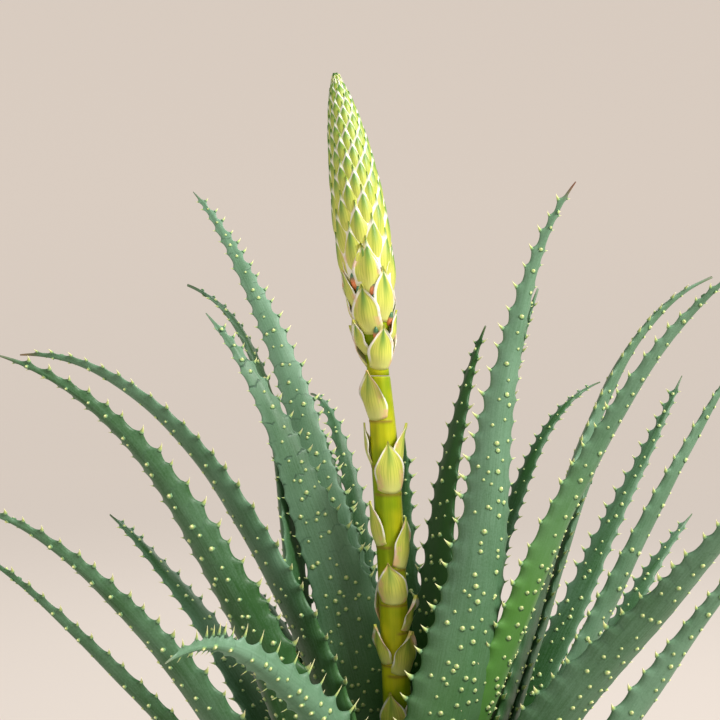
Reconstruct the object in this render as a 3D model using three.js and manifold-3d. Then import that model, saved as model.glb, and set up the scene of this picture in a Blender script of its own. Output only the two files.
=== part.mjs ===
// Potted candelabra aloe: a rosette of toothed succulent leaves on a short woody stem,
// with one unopened flower spike on a bracted stalk, planted in a round clay pot.
// Millimetres, +Z up. The origin is the centre of the pot's underside. The plant's front
// looks along -Y, and from there the flower spike leans to the left, along -X.

import * as THREE from 'three';
import { mergeVertices } from 'three/addons/utils/BufferGeometryUtils.js';
import Module from 'manifold-3d';

const wasm = await Module();
wasm.setup();

// Driving dimensions, in millimetres and degrees

const GAP = 0.3;

const POT = {
  height: 140,
  baseRadius: 50,
  shoulderRadius: 68,
  collarHeight: 30,
  collarRadius: 72,
  lipRadius: 75,
  wall: 5,
  floor: 8,
  edge: 1.5,
  sides: 40,
  drainRadius: 5,
  drainCircle: 26,
  drainCount: 3,
  drainSides: 12,
};

const SOIL = {
  top: 126,
  mound: 4,
  roughness: 1.1,
  chamfer: 3,
};

const STEM = {
  bottom: 92,
  top: 224,
  footRadius: 11.5,
  collarHeight: 132,
  collarRadius: 12.5,
  widestHeight: 152,
  widestRadius: 15,
  crownRadius: 8.6,
  sides: 20,
};

// The flower stalk's axis leans in X by `lean` and bends further by `bend` over its height

const STALK = {
  top: 383.5,
  radius: 5.7,
  neckRadius: 4.6,
  lean: 10,
  bend: 16,
  sides: 12,
};

// The spike's outline and the core inside its bracts, as [radius, height]

const SPIKE = {
  top: 505,
  sides: 12,
  outline: [
    [6, 384],
    [7.5, 392],
    [9.2, 403],
    [10, 415],
    [10.6, 433],
    [10.6, 449],
    [10.1, 459],
    [9, 471],
    [8.1, 479],
    [6.5, 488],
    [4.4, 497],
    [2.6, 502],
  ],
  neckCore: 4.4,
  coreSink: 1.5,
  latticeBase: 427,
  scaleRows: 13,
  scalesPerRow: 8,
  scaleLift: 1.9,
  scalePoint: 0.8,
};

const LEAF = {
  rootReach: 0.37,
  tipReach: 0.27,
  earlyTurn: 0.7,
  rootInset: 1.5,
  rootWidth: 0.72,
  shoulder: 0.18,
  taper: 1.25,
  stations: [0, 0.08, 0.16, 0.25, 0.34, 0.43, 0.52, 0.61, 0.7, 0.79, 0.88, 0.95],
  ahead: 0.001,
  ridge: 0.52,
  toothSpacing: 15,
  firstTooth: 0.16,
  lastTooth: 0.955,
  lastFront: 0.985,
  toothLength: 3.8,
  toothHook: 1.3,
  fullWidth: 20,
  outerPrickles: 4,
  innerPrickles: 2,
  firstPrickle: 0.22,
  lastPrickle: 0.92,
  prickleHeight: 1.7,
  prickleRadius: 1.6,
  prickleSink: 0.9,
  smallest: 0.03,
};

// The leaves from the growing tip outwards. Azimuths count from +X towards +Y. `root` is the
// height at which a leaf leaves the stem, `lean` and `droop` are its angles from upright at
// the root and at the tip, `reach` and `height` place the tip, and `sweep` turns the tip
// away from the azimuth of the root.

const LEAVES = [
  { root: 219, azimuth: 190, lean: 8, sweep: 0, reach: 16, height: 244, droop: 12, width: 12 },
  { root: 216, azimuth: 98, lean: 17, sweep: 76, reach: 78, height: 411, droop: 37, width: 33 },
  { root: 213, azimuth: 286, lean: 29, sweep: 58, reach: 70, height: 459, droop: 37, width: 31 },
  { root: 210, azimuth: 42, lean: 8, sweep: 0, reach: 51, height: 405, droop: 32, width: 26 },
  { root: 206, azimuth: 196, lean: 15, sweep: -12, reach: 150, height: 392, droop: 96, width: 27 },
  { root: 204, azimuth: 350, lean: 24, sweep: -8, reach: 132, height: 425, droop: 54, width: 26 },
  { root: 201, azimuth: 26, lean: 15, sweep: 14, reach: 82, height: 422, droop: 28, width: 24 },
  { root: 199, azimuth: 94, lean: 19, sweep: 44, reach: 127, height: 469, droop: 51, width: 24 },
  { root: 197, azimuth: 254, lean: 32, sweep: -18, reach: 137, height: 296, droop: 112, width: 20 },
  { root: 193, azimuth: 14, lean: 34, sweep: -4, reach: 134, height: 425, droop: 71, width: 27 },
  { root: 191, azimuth: 98, lean: 28, sweep: 24, reach: 78, height: 369, droop: 52, width: 26 },
  { root: 189, azimuth: 272, lean: 52, sweep: 4, reach: 140, height: 258, droop: 80, width: 30 },
  { root: 187, azimuth: 308, lean: 37, sweep: 16, reach: 158, height: 360, droop: 41, width: 36 },
  { root: 185, azimuth: 165, lean: 32, sweep: -4, reach: 95, height: 422, droop: 72, width: 22 },
  { root: 184, azimuth: 68, lean: 30, sweep: 18, reach: 52, height: 356, droop: 6, width: 20 },
  { root: 182, azimuth: 224, lean: 28, sweep: -18, reach: 158, height: 392, droop: 76, width: 30 },
  { root: 180, azimuth: 356, lean: 37, sweep: -4, reach: 134, height: 394, droop: 34, width: 26 },
  { root: 178, azimuth: 82, lean: 37, sweep: 32, reach: 97, height: 374, droop: 92, width: 18 },
  { root: 176, azimuth: 212, lean: 44, sweep: -10, reach: 169, height: 340, droop: 76, width: 30 },
  { root: 174, azimuth: 48, lean: 20, sweep: -10, reach: 120, height: 380, droop: 79, width: 16 },
  { root: 172, azimuth: 292, lean: 60, sweep: -4, reach: 165, height: 232, droop: 86, width: 30 },
  { root: 170, azimuth: 150, lean: 37, sweep: 0, reach: 152, height: 319, droop: 61, width: 26 },
  { root: 168, azimuth: 22, lean: 27, sweep: -6, reach: 95, height: 367, droop: 28, width: 26 },
  { root: 166, azimuth: 328, lean: 50, sweep: 8, reach: 148, height: 333, droop: 47, width: 31 },
  { root: 164, azimuth: 190, lean: 44, sweep: -2, reach: 166, height: 319, droop: 54, width: 26 },
  { root: 162, azimuth: 120, lean: 30, sweep: 18, reach: 95, height: 292, droop: 72, width: 24 },
  { root: 160, azimuth: 40, lean: 34, sweep: -6, reach: 165, height: 383, droop: 34, width: 20 },
  { root: 159, azimuth: 262, lean: 62, sweep: 0, reach: 160, height: 236, droop: 84, width: 30 },
  { root: 158, azimuth: 80, lean: 50, sweep: 0, reach: 145, height: 296, droop: 68, width: 24 },
  { root: 157, azimuth: 228, lean: 60, sweep: 0, reach: 172, height: 230, droop: 82, width: 29 },
  { root: 156, azimuth: 2, lean: 54, sweep: 0, reach: 168, height: 258, droop: 76, width: 27 },
  { root: 155, azimuth: 105, lean: 56, sweep: 0, reach: 158, height: 258, droop: 80, width: 26 },
  { root: 154, azimuth: 310, lean: 62, sweep: 0, reach: 166, height: 208, droop: 90, width: 29 },
  { root: 153, azimuth: 44, lean: 52, sweep: -10, reach: 172, height: 317, droop: 52, width: 25 },
];

// Bracts by the height of the base, azimuth, length and width: the sheathing ones up the
// flower stalk, then the plump ones round the foot of the spike

const STALK_BRACTS = [
  { base: 240, azimuth: 255, length: 19, width: 13 },
  { base: 246, azimuth: 340, length: 16, width: 12 },
  { base: 250, azimuth: 90, length: 18, width: 13 },
  { base: 265, azimuth: 305, length: 18, width: 13 },
  { base: 269, azimuth: 210, length: 15, width: 10 },
  { base: 282, azimuth: 345, length: 14, width: 9 },
  { base: 284, azimuth: 120, length: 18, width: 12 },
  { base: 293, azimuth: 275, length: 17, width: 14 },
  { base: 307, azimuth: 335, length: 21, width: 11 },
  { base: 309, azimuth: 60, length: 18, width: 12 },
  { base: 316, azimuth: 200, length: 18, width: 10 },
  { base: 337, azimuth: 288, length: 21, width: 13 },
  { base: 346, azimuth: 335, length: 19, width: 11 },
  { base: 348, azimuth: 165, length: 17, width: 9 },
  { base: 352, azimuth: 90, length: 19, width: 11 },
  { base: 366, azimuth: 230, length: 20, width: 13 },
];

const SPIKE_BRACTS = [
  { base: 386, azimuth: 288, length: 18, width: 12 },
  { base: 387, azimuth: 150, length: 17, width: 11 },
  { base: 388, azimuth: 45, length: 18, width: 11 },
  { base: 392, azimuth: 212, length: 14, width: 9 },
  { base: 396, azimuth: 345, length: 14, width: 9 },
  { base: 396, azimuth: 100, length: 19, width: 12 },
  { base: 400, azimuth: 252, length: 20, width: 13 },
  { base: 403, azimuth: 165, length: 19, width: 12 },
  { base: 404, azimuth: 35, length: 20, width: 12 },
  { base: 405, azimuth: 312, length: 22, width: 12 },
  { base: 410, azimuth: 205, length: 17, width: 10 },
  { base: 412, azimuth: 75, length: 19, width: 11 },
  { base: 416, azimuth: 270, length: 20, width: 12 },
  { base: 418, azimuth: 125, length: 18, width: 11 },
  { base: 419, azimuth: 350, length: 18, width: 11 },
];

const COLOURS = {
  terracotta: 0xb9734f,
  soil: 0x3d2c22,
  bark: 0x8a7a5c,
  leaf: 0x6f9480,
  stalk: 0x97a24a,
  scale: 0xc3cf7d,
};

const rad = THREE.MathUtils.degToRad;
const lerp = THREE.MathUtils.lerp;
const smoothstep = THREE.MathUtils.smoothstep;

// A seeded generator of even random numbers between 0 and 1

function seeded(seed) {
  let state = Math.imul(seed + 1, 2654435761) >>> 0;
  return () => {
    state = (Math.imul(state, 1664525) + 1013904223) >>> 0;
    return state / 4294967296;
  };
}

function finish(colour, roughness) {
  return new THREE.MeshStandardMaterial({ color: colour, roughness, metalness: 0 });
}

// Solids: faces given by hand, and three.js geometries with their seams merged

function solidFromFaces(points, faces) {
  return new wasm.Manifold(new wasm.Mesh({
    numProp: 3,
    vertProperties: new Float32Array(points.flatMap((point) => point.toArray())),
    triVerts: new Uint32Array(faces.flat()),
  }));
}

function solidFromGeometry(geometry) {
  const bare = new THREE.BufferGeometry();
  bare.setAttribute('position', geometry.attributes.position);
  bare.setIndex(geometry.index);
  const merged = mergeVertices(bare, 1e-3);
  const corners = merged.index.array;
  const kept = [];
  for (let i = 0; i < corners.length; i += 3) {
    const [a, b, c] = [corners[i], corners[i + 1], corners[i + 2]];
    if (a !== b && b !== c && c !== a) kept.push(a, b, c);
  }
  return new wasm.Manifold(new wasm.Mesh({
    numProp: 3,
    vertProperties: new Float32Array(merged.attributes.position.array),
    triVerts: new Uint32Array(kept),
  }));
}

function geometryFromSolid(solid) {
  const { vertProperties, triVerts } = solid.getMesh();
  const geometry = new THREE.BufferGeometry();
  geometry.setAttribute('position', new THREE.Float32BufferAttribute(Array.from(vertProperties), 3));
  geometry.setIndex(Array.from(triVerts));
  geometry.computeVertexNormals();
  return geometry;
}

// A turned solid: [radius, height] points from the bottom of the axis up the outside

function turned(profile, sides) {
  const points = profile.map(([radius, height]) => new THREE.Vector2(radius, height));
  return new THREE.LatheGeometry(points, sides).rotateX(Math.PI / 2);
}

// Pot

function potInnerRadius(height) {
  const slope = (POT.shoulderRadius - POT.baseRadius) / (POT.height - POT.collarHeight);
  return POT.baseRadius - POT.wall + slope * height;
}

function makePot() {
  const shoulder = POT.height - POT.collarHeight;
  const rimInside = potInnerRadius(POT.height - POT.edge);
  const profile = [
    [0, 0],
    [POT.baseRadius - POT.edge, 0],
    [POT.baseRadius, POT.edge],
    [POT.shoulderRadius, shoulder],
    [POT.collarRadius - POT.edge, shoulder],
    [POT.collarRadius, shoulder + POT.edge],
    [POT.lipRadius, POT.height - POT.edge],
    [POT.lipRadius - POT.edge, POT.height],
    [rimInside + POT.edge, POT.height],
    [rimInside, POT.height - POT.edge],
    [potInnerRadius(POT.floor + POT.edge), POT.floor + POT.edge],
    [potInnerRadius(POT.floor) - POT.edge, POT.floor],
    [0, POT.floor],
  ];
  let pot = solidFromGeometry(turned(profile, POT.sides));
  for (let i = 0; i < POT.drainCount; i += 1) {
    const azimuth = rad(i * 360 / POT.drainCount);
    const drain = new THREE.CylinderGeometry(
      POT.drainRadius, POT.drainRadius, POT.floor * 2, POT.drainSides,
    ).rotateX(Math.PI / 2);
    drain.translate(POT.drainCircle * Math.cos(azimuth), POT.drainCircle * Math.sin(azimuth), POT.floor / 2);
    pot = pot.subtract(solidFromGeometry(drain));
  }
  return geometryFromSolid(pot);
}

// Stem: the woody trunk, thick at the lowest leaves and narrow at the growing tip

const stemProfile = [
  [STEM.footRadius, STEM.bottom],
  [STEM.collarRadius, STEM.collarHeight],
  [STEM.widestRadius, STEM.widestHeight],
  [STEM.crownRadius, STEM.top],
];

function stemRadius(height) {
  const upper = stemProfile.findIndex(([, level]) => level >= height);
  const [radiusBelow, below] = stemProfile[upper - 1];
  const [radiusAbove, above] = stemProfile[upper];
  return lerp(radiusBelow, radiusAbove, (height - below) / (above - below));
}

function makeStem(grow = 0) {
  const rings = stemProfile.map(([radius, height]) => [radius + grow, height]);
  rings[0][1] -= grow;
  rings[rings.length - 1][1] += grow;
  return turned([[0, rings[0][1]], ...rings, [0, rings[rings.length - 1][1]]], STEM.sides);
}

// Soil: it fills the pot to just under the rim, heaped a little round the stem, and has a
// plain hole for the stem

function makeSoil() {
  const hole = STEM.collarRadius + GAP;
  const bottom = POT.floor + GAP;
  const rim = potInnerRadius(SOIL.top) - GAP;
  const profile = [
    [0, bottom],
    [potInnerRadius(bottom) - GAP - SOIL.chamfer, bottom],
    [potInnerRadius(bottom + SOIL.chamfer) - GAP, bottom + SOIL.chamfer],
    [rim, SOIL.top],
    [lerp(hole, rim, 0.82), SOIL.top + 0.35 * SOIL.mound],
    [lerp(hole, rim, 0.6), SOIL.top + 0.6 * SOIL.mound],
    [lerp(hole, rim, 0.35), SOIL.top + 0.85 * SOIL.mound],
    [hole, SOIL.top + SOIL.mound],
    [hole, STEM.bottom - GAP],
    [0, STEM.bottom - GAP],
  ];
  const soil = turned(profile, POT.sides);
  const place = soil.attributes.position;
  for (let i = 0; i < place.count; i += 1) {
    const [x, y, z] = [place.getX(i), place.getY(i), place.getZ(i)];
    const lumps = Math.sin(x * 0.31 + y * 0.17) + Math.cos(y * 0.27 - x * 0.21);
    if (z > SOIL.top + 0.1) place.setZ(i, z + 0.5 * SOIL.roughness * lumps);
  }
  return soil;
}

// Leaves

function direction(azimuth, fromUpright) {
  const level = Math.sin(rad(fromUpright));
  return new THREE.Vector3(
    level * Math.cos(rad(azimuth)),
    level * Math.sin(rad(azimuth)),
    Math.cos(rad(fromUpright)),
  );
}

function leafSpine(leaf) {
  const inside = stemRadius(leaf.root) - LEAF.rootInset;
  const root = direction(leaf.azimuth, 90).multiplyScalar(inside).setZ(leaf.root);
  const tip = direction(leaf.azimuth + leaf.sweep, 90).multiplyScalar(leaf.reach).setZ(leaf.height);
  const span = root.distanceTo(tip);
  const early = leaf.azimuth + LEAF.earlyTurn * leaf.sweep;
  return new THREE.CubicBezierCurve3(
    root,
    root.clone().addScaledVector(direction(early, leaf.lean), LEAF.rootReach * span),
    tip.clone().addScaledVector(direction(leaf.azimuth + leaf.sweep, leaf.droop), -LEAF.tipReach * span),
    tip,
  );
}

// A section of a leaf at the fraction `u` of its length: the spine's point, the way to the
// left margin and to the outer face, half the width, and how far the outer ridges and the
// inner middle line stand from the plane of the margins

function leafSection(leaf, spine, u, grow) {
  const centre = spine.getPointAt(u);
  const along = spine.getTangentAt(u);
  const azimuth = rad(leaf.azimuth + leaf.sweep * u);
  const side = new THREE.Vector3(-Math.sin(azimuth), Math.cos(azimuth), 0);
  side.addScaledVector(along, -side.dot(along)).normalize();
  const out = new THREE.Vector3().crossVectors(side, along);
  const rootShare = lerp(LEAF.rootWidth, 1, smoothstep(u, 0, LEAF.shoulder));
  const half = 0.5 * leaf.width * rootShare * Math.min(1, LEAF.taper * (1 - u));
  return {
    centre,
    side,
    out,
    half: half + 1.3 * grow,
    outer: half * (0.5 + 0.2 * u) + 0.35 + grow,
    inner: half * (0.45 * u - 0.08) + 0.25 + grow,
  };
}

function marginPoint(section, sign, beyond = 0) {
  return section.centre.clone().addScaledVector(section.side, sign * (section.half + beyond));
}

// The points of one margin: three for each hooked tooth, its shoulder, point and front.
// `u` orders a point along the margin, and a grown leaf has its teeth longer and wider.
// The outer ridge beside a margin has a point at each of its shoulders.

function leafMargin(leaf, spine, sign, grow, random) {
  const length = spine.getLength();
  const add = (at, shift, beyond, shoulder) => {
    const u = Math.min(at, LEAF.lastFront);
    const section = leafSection(leaf, spine, u + shift / length, grow);
    points.push({ u, at: marginPoint(section, sign, beyond), out: section.out, shoulder });
  };
  const points = [];
  add(0, 0, 0, true);
  add(LEAF.shoulder / 2, 0, 0, true);
  const small = Math.min(1, leaf.width / LEAF.fullWidth);
  const phase = 0.8 * random();
  const count = Math.round((LEAF.lastTooth - LEAF.firstTooth) * length / LEAF.toothSpacing);
  for (let i = 0; i < count; i += 1) {
    const jitter = 0.3 * (random() - 0.5);
    const share = (i + phase + jitter) / count;
    const u = lerp(LEAF.firstTooth, LEAF.lastTooth, Math.max(0, share));
    const size = small * LEAF.toothLength * (1 - 0.55 * u) * lerp(0.85, 1.15, random());
    const halfBase = 0.5 * size / length;
    const hook = small * LEAF.toothHook / length;
    add(u - halfBase, -grow, 0, true);
    add(u + hook, 0, size + grow, false);
    add(u + halfBase + hook, grow, 0, false);
  }
  return points;
}

// The strip of triangles between two lines of points that end at the same tip

function addStrip(faces, first, second) {
  let i = 0;
  let j = 0;
  while (i < first.length - 1 || j < second.length - 1) {
    const stepFirst = j === second.length - 1
      || (i < first.length - 1 && first[i + 1].u <= second[j + 1].u);
    const face = stepFirst
      ? [first[i].index, second[j].index, first[i + 1].index]
      : [first[i].index, second[j].index, second[j + 1].index];
    if (new Set(face).size === 3) faces.push(face);
    if (stepFirst) i += 1;
    else j += 1;
  }
}

function leafBlade(leaf, spine, grow, random) {
  const margins = [1, -1].map((sign) => leafMargin(leaf, spine, sign, grow, random));
  const shifted = (margin, lift) => margin.map(({ u, at, out }) => ({
    u,
    at: at.clone().addScaledVector(out, lift),
  }));
  const ridge = (margin, sign) => margin.filter(({ shoulder }) => shoulder).map(({ u }) => {
    const section = leafSection(leaf, spine, u, grow);
    const at = section.centre.clone()
      .addScaledVector(section.side, sign * LEAF.ridge * section.half)
      .addScaledVector(section.out, section.outer);
    return { u: u - LEAF.ahead * Math.min(1, u), at };
  });
  const middle = LEAF.stations.map((u) => {
    const section = leafSection(leaf, spine, u, grow);
    return { u, at: section.centre.clone().addScaledVector(section.out, -section.inner) };
  });
  const [left, right] = margins.map((margin) => shifted(margin, -grow));
  const ridges = [ridge(margins[1], -1), ridge(margins[0], 1)];
  const lines = [left, middle, right, ...ridges];
  if (grow > 0) {
    lines.splice(3, 0, shifted(margins[1], grow));
    lines.push(shifted(margins[0], grow));
  }
  const points = [spine.getPointAt(1).addScaledVector(spine.getTangentAt(1), grow)];
  for (const line of lines) {
    for (const point of line) {
      point.index = points.length;
      points.push(point.at);
    }
    line.push({ u: 1, at: points[0], index: 0 });
  }
  const faces = [];
  lines.forEach((line, i) => addStrip(faces, line, lines[(i + 1) % lines.length]));
  const root = lines.map((line) => line[0].index);
  for (let i = 2; i < root.length; i += 1) faces.push([root[1], root[(i + 1) % root.length], root[i]]);
  return { points, faces, middle, ridges };
}

// A point of a line at the fraction `u`, on the straight run between its neighbours

function pointOn(line, u) {
  const after = Math.max(1, line.findIndex((point) => point.u >= u));
  const [low, high] = [line[after - 1], line[after]];
  return low.at.clone().lerp(high.at, (u - low.u) / (high.u - low.u));
}

function prickle(at, out, grow) {
  const across = new THREE.Vector3(out.y, -out.x, 0).normalize();
  const other = new THREE.Vector3().crossVectors(out, across);
  const foot = at.clone().addScaledVector(out, -LEAF.prickleSink);
  const points = [at.clone().addScaledVector(out, LEAF.prickleHeight + grow)];
  for (let i = 0; i < 3; i += 1) {
    const angle = i * 2 * Math.PI / 3;
    points.push(foot.clone()
      .addScaledVector(across, (LEAF.prickleRadius + grow) * Math.cos(angle))
      .addScaledVector(other, (LEAF.prickleRadius + grow) * Math.sin(angle)));
  }
  return solidFromFaces(points, [[0, 1, 2], [0, 2, 3], [0, 3, 1], [1, 3, 2]]);
}

function leafSolid(leaf, seed, grow = 0) {
  const random = seeded(seed);
  const spine = leafSpine(leaf);
  const { points, faces, middle, ridges } = leafBlade(leaf, spine, grow, random);
  let solid = solidFromFaces(points, faces);
  const count = LEAF.outerPrickles + LEAF.innerPrickles;
  for (let i = 0; i < count; i += 1) {
    const onOuter = i < LEAF.outerPrickles;
    const share = onOuter
      ? (i + random()) / LEAF.outerPrickles
      : (i - LEAF.outerPrickles + random()) / LEAF.innerPrickles;
    const u = lerp(LEAF.firstPrickle, LEAF.lastPrickle, share);
    const section = leafSection(leaf, spine, u, grow);
    const at = onOuter
      ? pointOn(ridges[0], u).lerp(pointOn(ridges[1], u), random())
      : pointOn(middle, u).addScaledVector(section.side, 0.3 * section.half * (random() - 0.5));
    const out = onOuter ? section.out : section.out.clone().negate();
    solid = solid.add(prickle(at, out, grow));
  }
  return solid;
}

// Each leaf is cut clear of the stem and of the leaves inside it, which it clasps, and
// crumbs that the cuts leave are dropped

function makeLeaves() {
  const stem = solidFromGeometry(makeStem(GAP));
  const inside = [];
  return LEAVES.map((leaf, seed) => {
    let solid = leafSolid(leaf, seed).subtract(stem);
    for (const inner of inside) solid = solid.subtract(inner);
    inside.push(leafSolid(leaf, seed, GAP));
    const [whole] = solid.simplify(LEAF.smallest).decompose().sort((a, b) => b.volume() - a.volume());
    return geometryFromSolid(whole);
  });
}

// Flower stalk and spike

function stalkAxis(height) {
  const share = (height - STEM.top) / (SPIKE.top - STEM.top);
  return new THREE.Vector3(-(STALK.lean * share + STALK.bend * share ** 3), 0, height);
}

// A round solid about the stalk's axis: [radius, height] rings closed at both ends

function roundAxis(rings, sides) {
  const points = [];
  const faces = [];
  for (const [radius, height] of rings) {
    for (let i = 0; i < sides; i += 1) {
      points.push(direction(i * 360 / sides, 90).multiplyScalar(radius).add(stalkAxis(height)));
    }
  }
  const bottom = points.length;
  points.push(stalkAxis(rings[0][1]), stalkAxis(rings[rings.length - 1][1]));
  const last = (rings.length - 1) * sides;
  for (let i = 0; i < sides; i += 1) {
    const next = (i + 1) % sides;
    for (let ring = 0; ring < last; ring += sides) {
      faces.push([ring + i, ring + next, ring + sides + next]);
      faces.push([ring + i, ring + sides + next, ring + sides + i]);
    }
    faces.push([bottom, next, i], [bottom + 1, last + i, last + next]);
  }
  return solidFromFaces(points, faces);
}

// A bract: its base row hugs the axis, its widest row stands out, and it ends in a point.
// `columns` points go across it, and the solid runs in to the axis.

function bract({ base, azimuth, length, width, baseRadius, wideRadius, tipRadius, columns }) {
  const rows = [
    { height: base, radius: baseRadius, share: 0.7 },
    { height: base + 0.42 * length, radius: wideRadius, share: 1 },
  ];
  const points = [];
  for (const row of rows) {
    const halfAngle = THREE.MathUtils.radToDeg(0.5 * row.share * width / row.radius);
    for (let i = 0; i < columns; i += 1) {
      const across = 2 * i / (columns - 1) - 1;
      const keel = 1 + 0.07 * (1 - Math.abs(across));
      const lift = 0.05 * length * (1 - across ** 2);
      points.push(direction(azimuth + across * halfAngle, 90)
        .multiplyScalar(row.radius * keel)
        .add(stalkAxis(row.height - lift)));
    }
  }
  const tip = points.length;
  points.push(direction(azimuth, 90).multiplyScalar(tipRadius).add(stalkAxis(base + length)));
  points.push(stalkAxis(base + 0.42 * length));
  const core = tip + 1;
  const faces = [[0, columns, core], [columns, tip, core]];
  faces.push([2 * columns - 1, columns - 1, core], [tip, 2 * columns - 1, core]);
  for (let i = 0; i < columns - 1; i += 1) {
    faces.push([i, i + 1, columns + i + 1], [i, columns + i + 1, columns + i]);
    faces.push([columns + i, columns + i + 1, tip], [i + 1, i, core]);
  }
  return solidFromFaces(points, faces);
}

// The radius at a height of an outline of [radius, height] points

function radiusAt(outline, height) {
  const found = outline.findIndex(([, level]) => level >= height);
  const upper = found === -1 ? outline.length - 1 : Math.max(1, found);
  const [radiusBelow, below] = outline[upper - 1];
  const [radiusAbove, above] = outline[upper];
  return lerp(radiusBelow, radiusAbove, (height - below) / (above - below));
}

const stalkRings = [
  [STALK.radius, STEM.top + GAP],
  [STALK.radius, 300],
  [STALK.radius, 352],
  [STALK.neckRadius, STALK.top],
];

function makeStalk() {
  let stalk = roundAxis(stalkRings, STALK.sides);
  for (const spec of STALK_BRACTS) {
    const radius = radiusAt(stalkRings, spec.base);
    stalk = stalk.add(bract({
      ...spec,
      baseRadius: radius + 0.2,
      wideRadius: radius + 1.4,
      tipRadius: radius + 1.9,
      columns: 5,
    }));
  }
  return geometryFromSolid(stalk);
}

// The closed scales of the spike: staggered rings of points in the valleys between scales,
// and over each diamond of four of them the scale's own point, lifted and drawn upward

function scaleLattice() {
  const rows = SPIKE.scaleRows;
  const count = SPIKE.scalesPerRow;
  const points = [];
  const height = (row) => lerp(SPIKE.latticeBase, SPIKE.top - 2, (row / rows) ** 0.92);
  const place = (azimuth, radius, level) => (
    direction(azimuth, 90).multiplyScalar(radius).add(stalkAxis(level))
  );
  for (let row = 0; row <= rows; row += 1) {
    const valley = Math.max(0.8, radiusAt(SPIKE.outline, height(row)) - SPIKE.coreSink);
    for (let i = 0; i < count; i += 1) {
      points.push(place((i + 0.5 * (row % 2)) * 360 / count, valley, height(row)));
    }
  }
  const ring = (row, i) => row * count + (i % count);
  const faces = [];
  for (let i = 0; i < count; i += 1) {
    faces.push([ring(0, i), ring(0, i + 1), ring(1, i)]);
    faces.push([ring(rows, i), ring(rows - 1, i + (rows % 2)), ring(rows, i + 1)]);
  }
  for (let row = 1; row < rows; row += 1) {
    const shift = row % 2;
    const level = lerp(height(row), height(row + 1), SPIKE.scalePoint);
    const lift = SPIKE.scaleLift * lerp(1, 0.45, row / rows);
    const radius = Math.max(0.8, radiusAt(SPIKE.outline, level) - SPIKE.coreSink) + lift;
    for (let i = 0; i < count; i += 1) {
      const azimuth = (i + 0.5 + 0.5 * shift) * 360 / count;
      const point = points.push(place(azimuth, radius, level)) - 1;
      const left = ring(row, i);
      const right = ring(row, i + 1);
      const below = ring(row - 1, i + shift);
      const above = ring(row + 1, i + shift);
      faces.push([left, below, point], [below, right, point]);
      faces.push([right, above, point], [above, left, point]);
    }
  }
  const bottom = points.push(stalkAxis(SPIKE.latticeBase)) - 1;
  const top = points.push(stalkAxis(SPIKE.top)) - 1;
  for (let i = 0; i < count; i += 1) {
    faces.push([bottom, ring(0, i + 1), ring(0, i)]);
    faces.push([top, ring(rows, i), ring(rows, i + 1)]);
  }
  return solidFromFaces(points, faces);
}

// The spike: a core up the axis, the plump bracts round its foot, and the closed scales

function makeSpike() {
  const core = SPIKE.outline
    .filter(([, level]) => level < SPIKE.latticeBase + 10)
    .map(([radius, level]) => [Math.max(SPIKE.neckCore, radius - 3.2), level]);
  core[0][1] = STALK.top + GAP;
  let spike = roundAxis(core, SPIKE.sides).add(scaleLattice());
  for (const spec of SPIKE_BRACTS) {
    const outline = (share) => radiusAt(SPIKE.outline, spec.base + share * spec.length);
    spike = spike.add(bract({
      ...spec,
      baseRadius: radiusAt(core, spec.base) + 0.3,
      wideRadius: outline(0.42) - 0.3,
      tipRadius: outline(1) + 0.2,
      columns: 5,
    }));
  }
  return geometryFromSolid(spike);
}

// Assembly

const aloe = new THREE.Group();

function addPart(name, geometry, material) {
  const mesh = new THREE.Mesh(geometry, material);
  mesh.name = name;
  aloe.add(mesh);
}

addPart('pot', makePot(), finish(COLOURS.terracotta, 0.85));
addPart('soil', makeSoil(), finish(COLOURS.soil, 0.95));
addPart('stem', makeStem(), finish(COLOURS.bark, 0.8));
addPart('flower_stalk', makeStalk(), finish(COLOURS.stalk, 0.5));
addPart('flower_spike', makeSpike(), finish(COLOURS.scale, 0.45));
makeLeaves().forEach((geometry, i) => {
  addPart(`leaf_${String(i + 1).padStart(2, '0')}`, geometry, finish(COLOURS.leaf, 0.5));
});

export default aloe;
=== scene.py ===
import logging
import math
from dataclasses import dataclass
from enum import Enum
from typing import Callable, Iterable, Sequence

import bmesh
import bpy
import numpy as np
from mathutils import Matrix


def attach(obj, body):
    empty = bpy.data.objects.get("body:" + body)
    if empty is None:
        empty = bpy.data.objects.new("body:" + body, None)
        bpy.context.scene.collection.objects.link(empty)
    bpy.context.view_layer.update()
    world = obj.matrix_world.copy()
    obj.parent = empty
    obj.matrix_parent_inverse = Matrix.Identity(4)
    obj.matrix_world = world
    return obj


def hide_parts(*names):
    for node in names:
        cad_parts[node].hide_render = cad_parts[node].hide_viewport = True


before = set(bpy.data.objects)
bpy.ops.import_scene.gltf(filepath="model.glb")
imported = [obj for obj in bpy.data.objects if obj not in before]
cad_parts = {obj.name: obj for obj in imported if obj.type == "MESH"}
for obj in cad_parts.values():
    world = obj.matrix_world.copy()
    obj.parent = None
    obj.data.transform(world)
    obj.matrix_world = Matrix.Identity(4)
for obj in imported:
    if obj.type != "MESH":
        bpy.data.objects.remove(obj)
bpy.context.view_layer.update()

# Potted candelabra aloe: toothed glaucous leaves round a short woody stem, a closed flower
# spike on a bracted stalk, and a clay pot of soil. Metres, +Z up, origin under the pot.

LOG = logging.getLogger("potted_aloe")

MM = 0.001
BODY = "root"
GOLDEN_ANGLE = 137.508
MOTTLE = "Mottle"
FIBRE = "Plant fibre"
FACTORS = ("Tooth length", "Tooth girth", "Prickle height", "Prickle girth")

Array = np.ndarray
Number = Array | float
Piece = bpy.types.Object
Material = bpy.types.Material
Tree = bpy.types.NodeTree
Node = bpy.types.Node
Socket = bpy.types.NodeSocket
Faces = list[list[int]]
Colour = tuple[float, float, float]
Place = tuple[float, float, float]
Radii = tuple[float, float, float]
Profile = tuple[tuple[float, float], ...]


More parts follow.
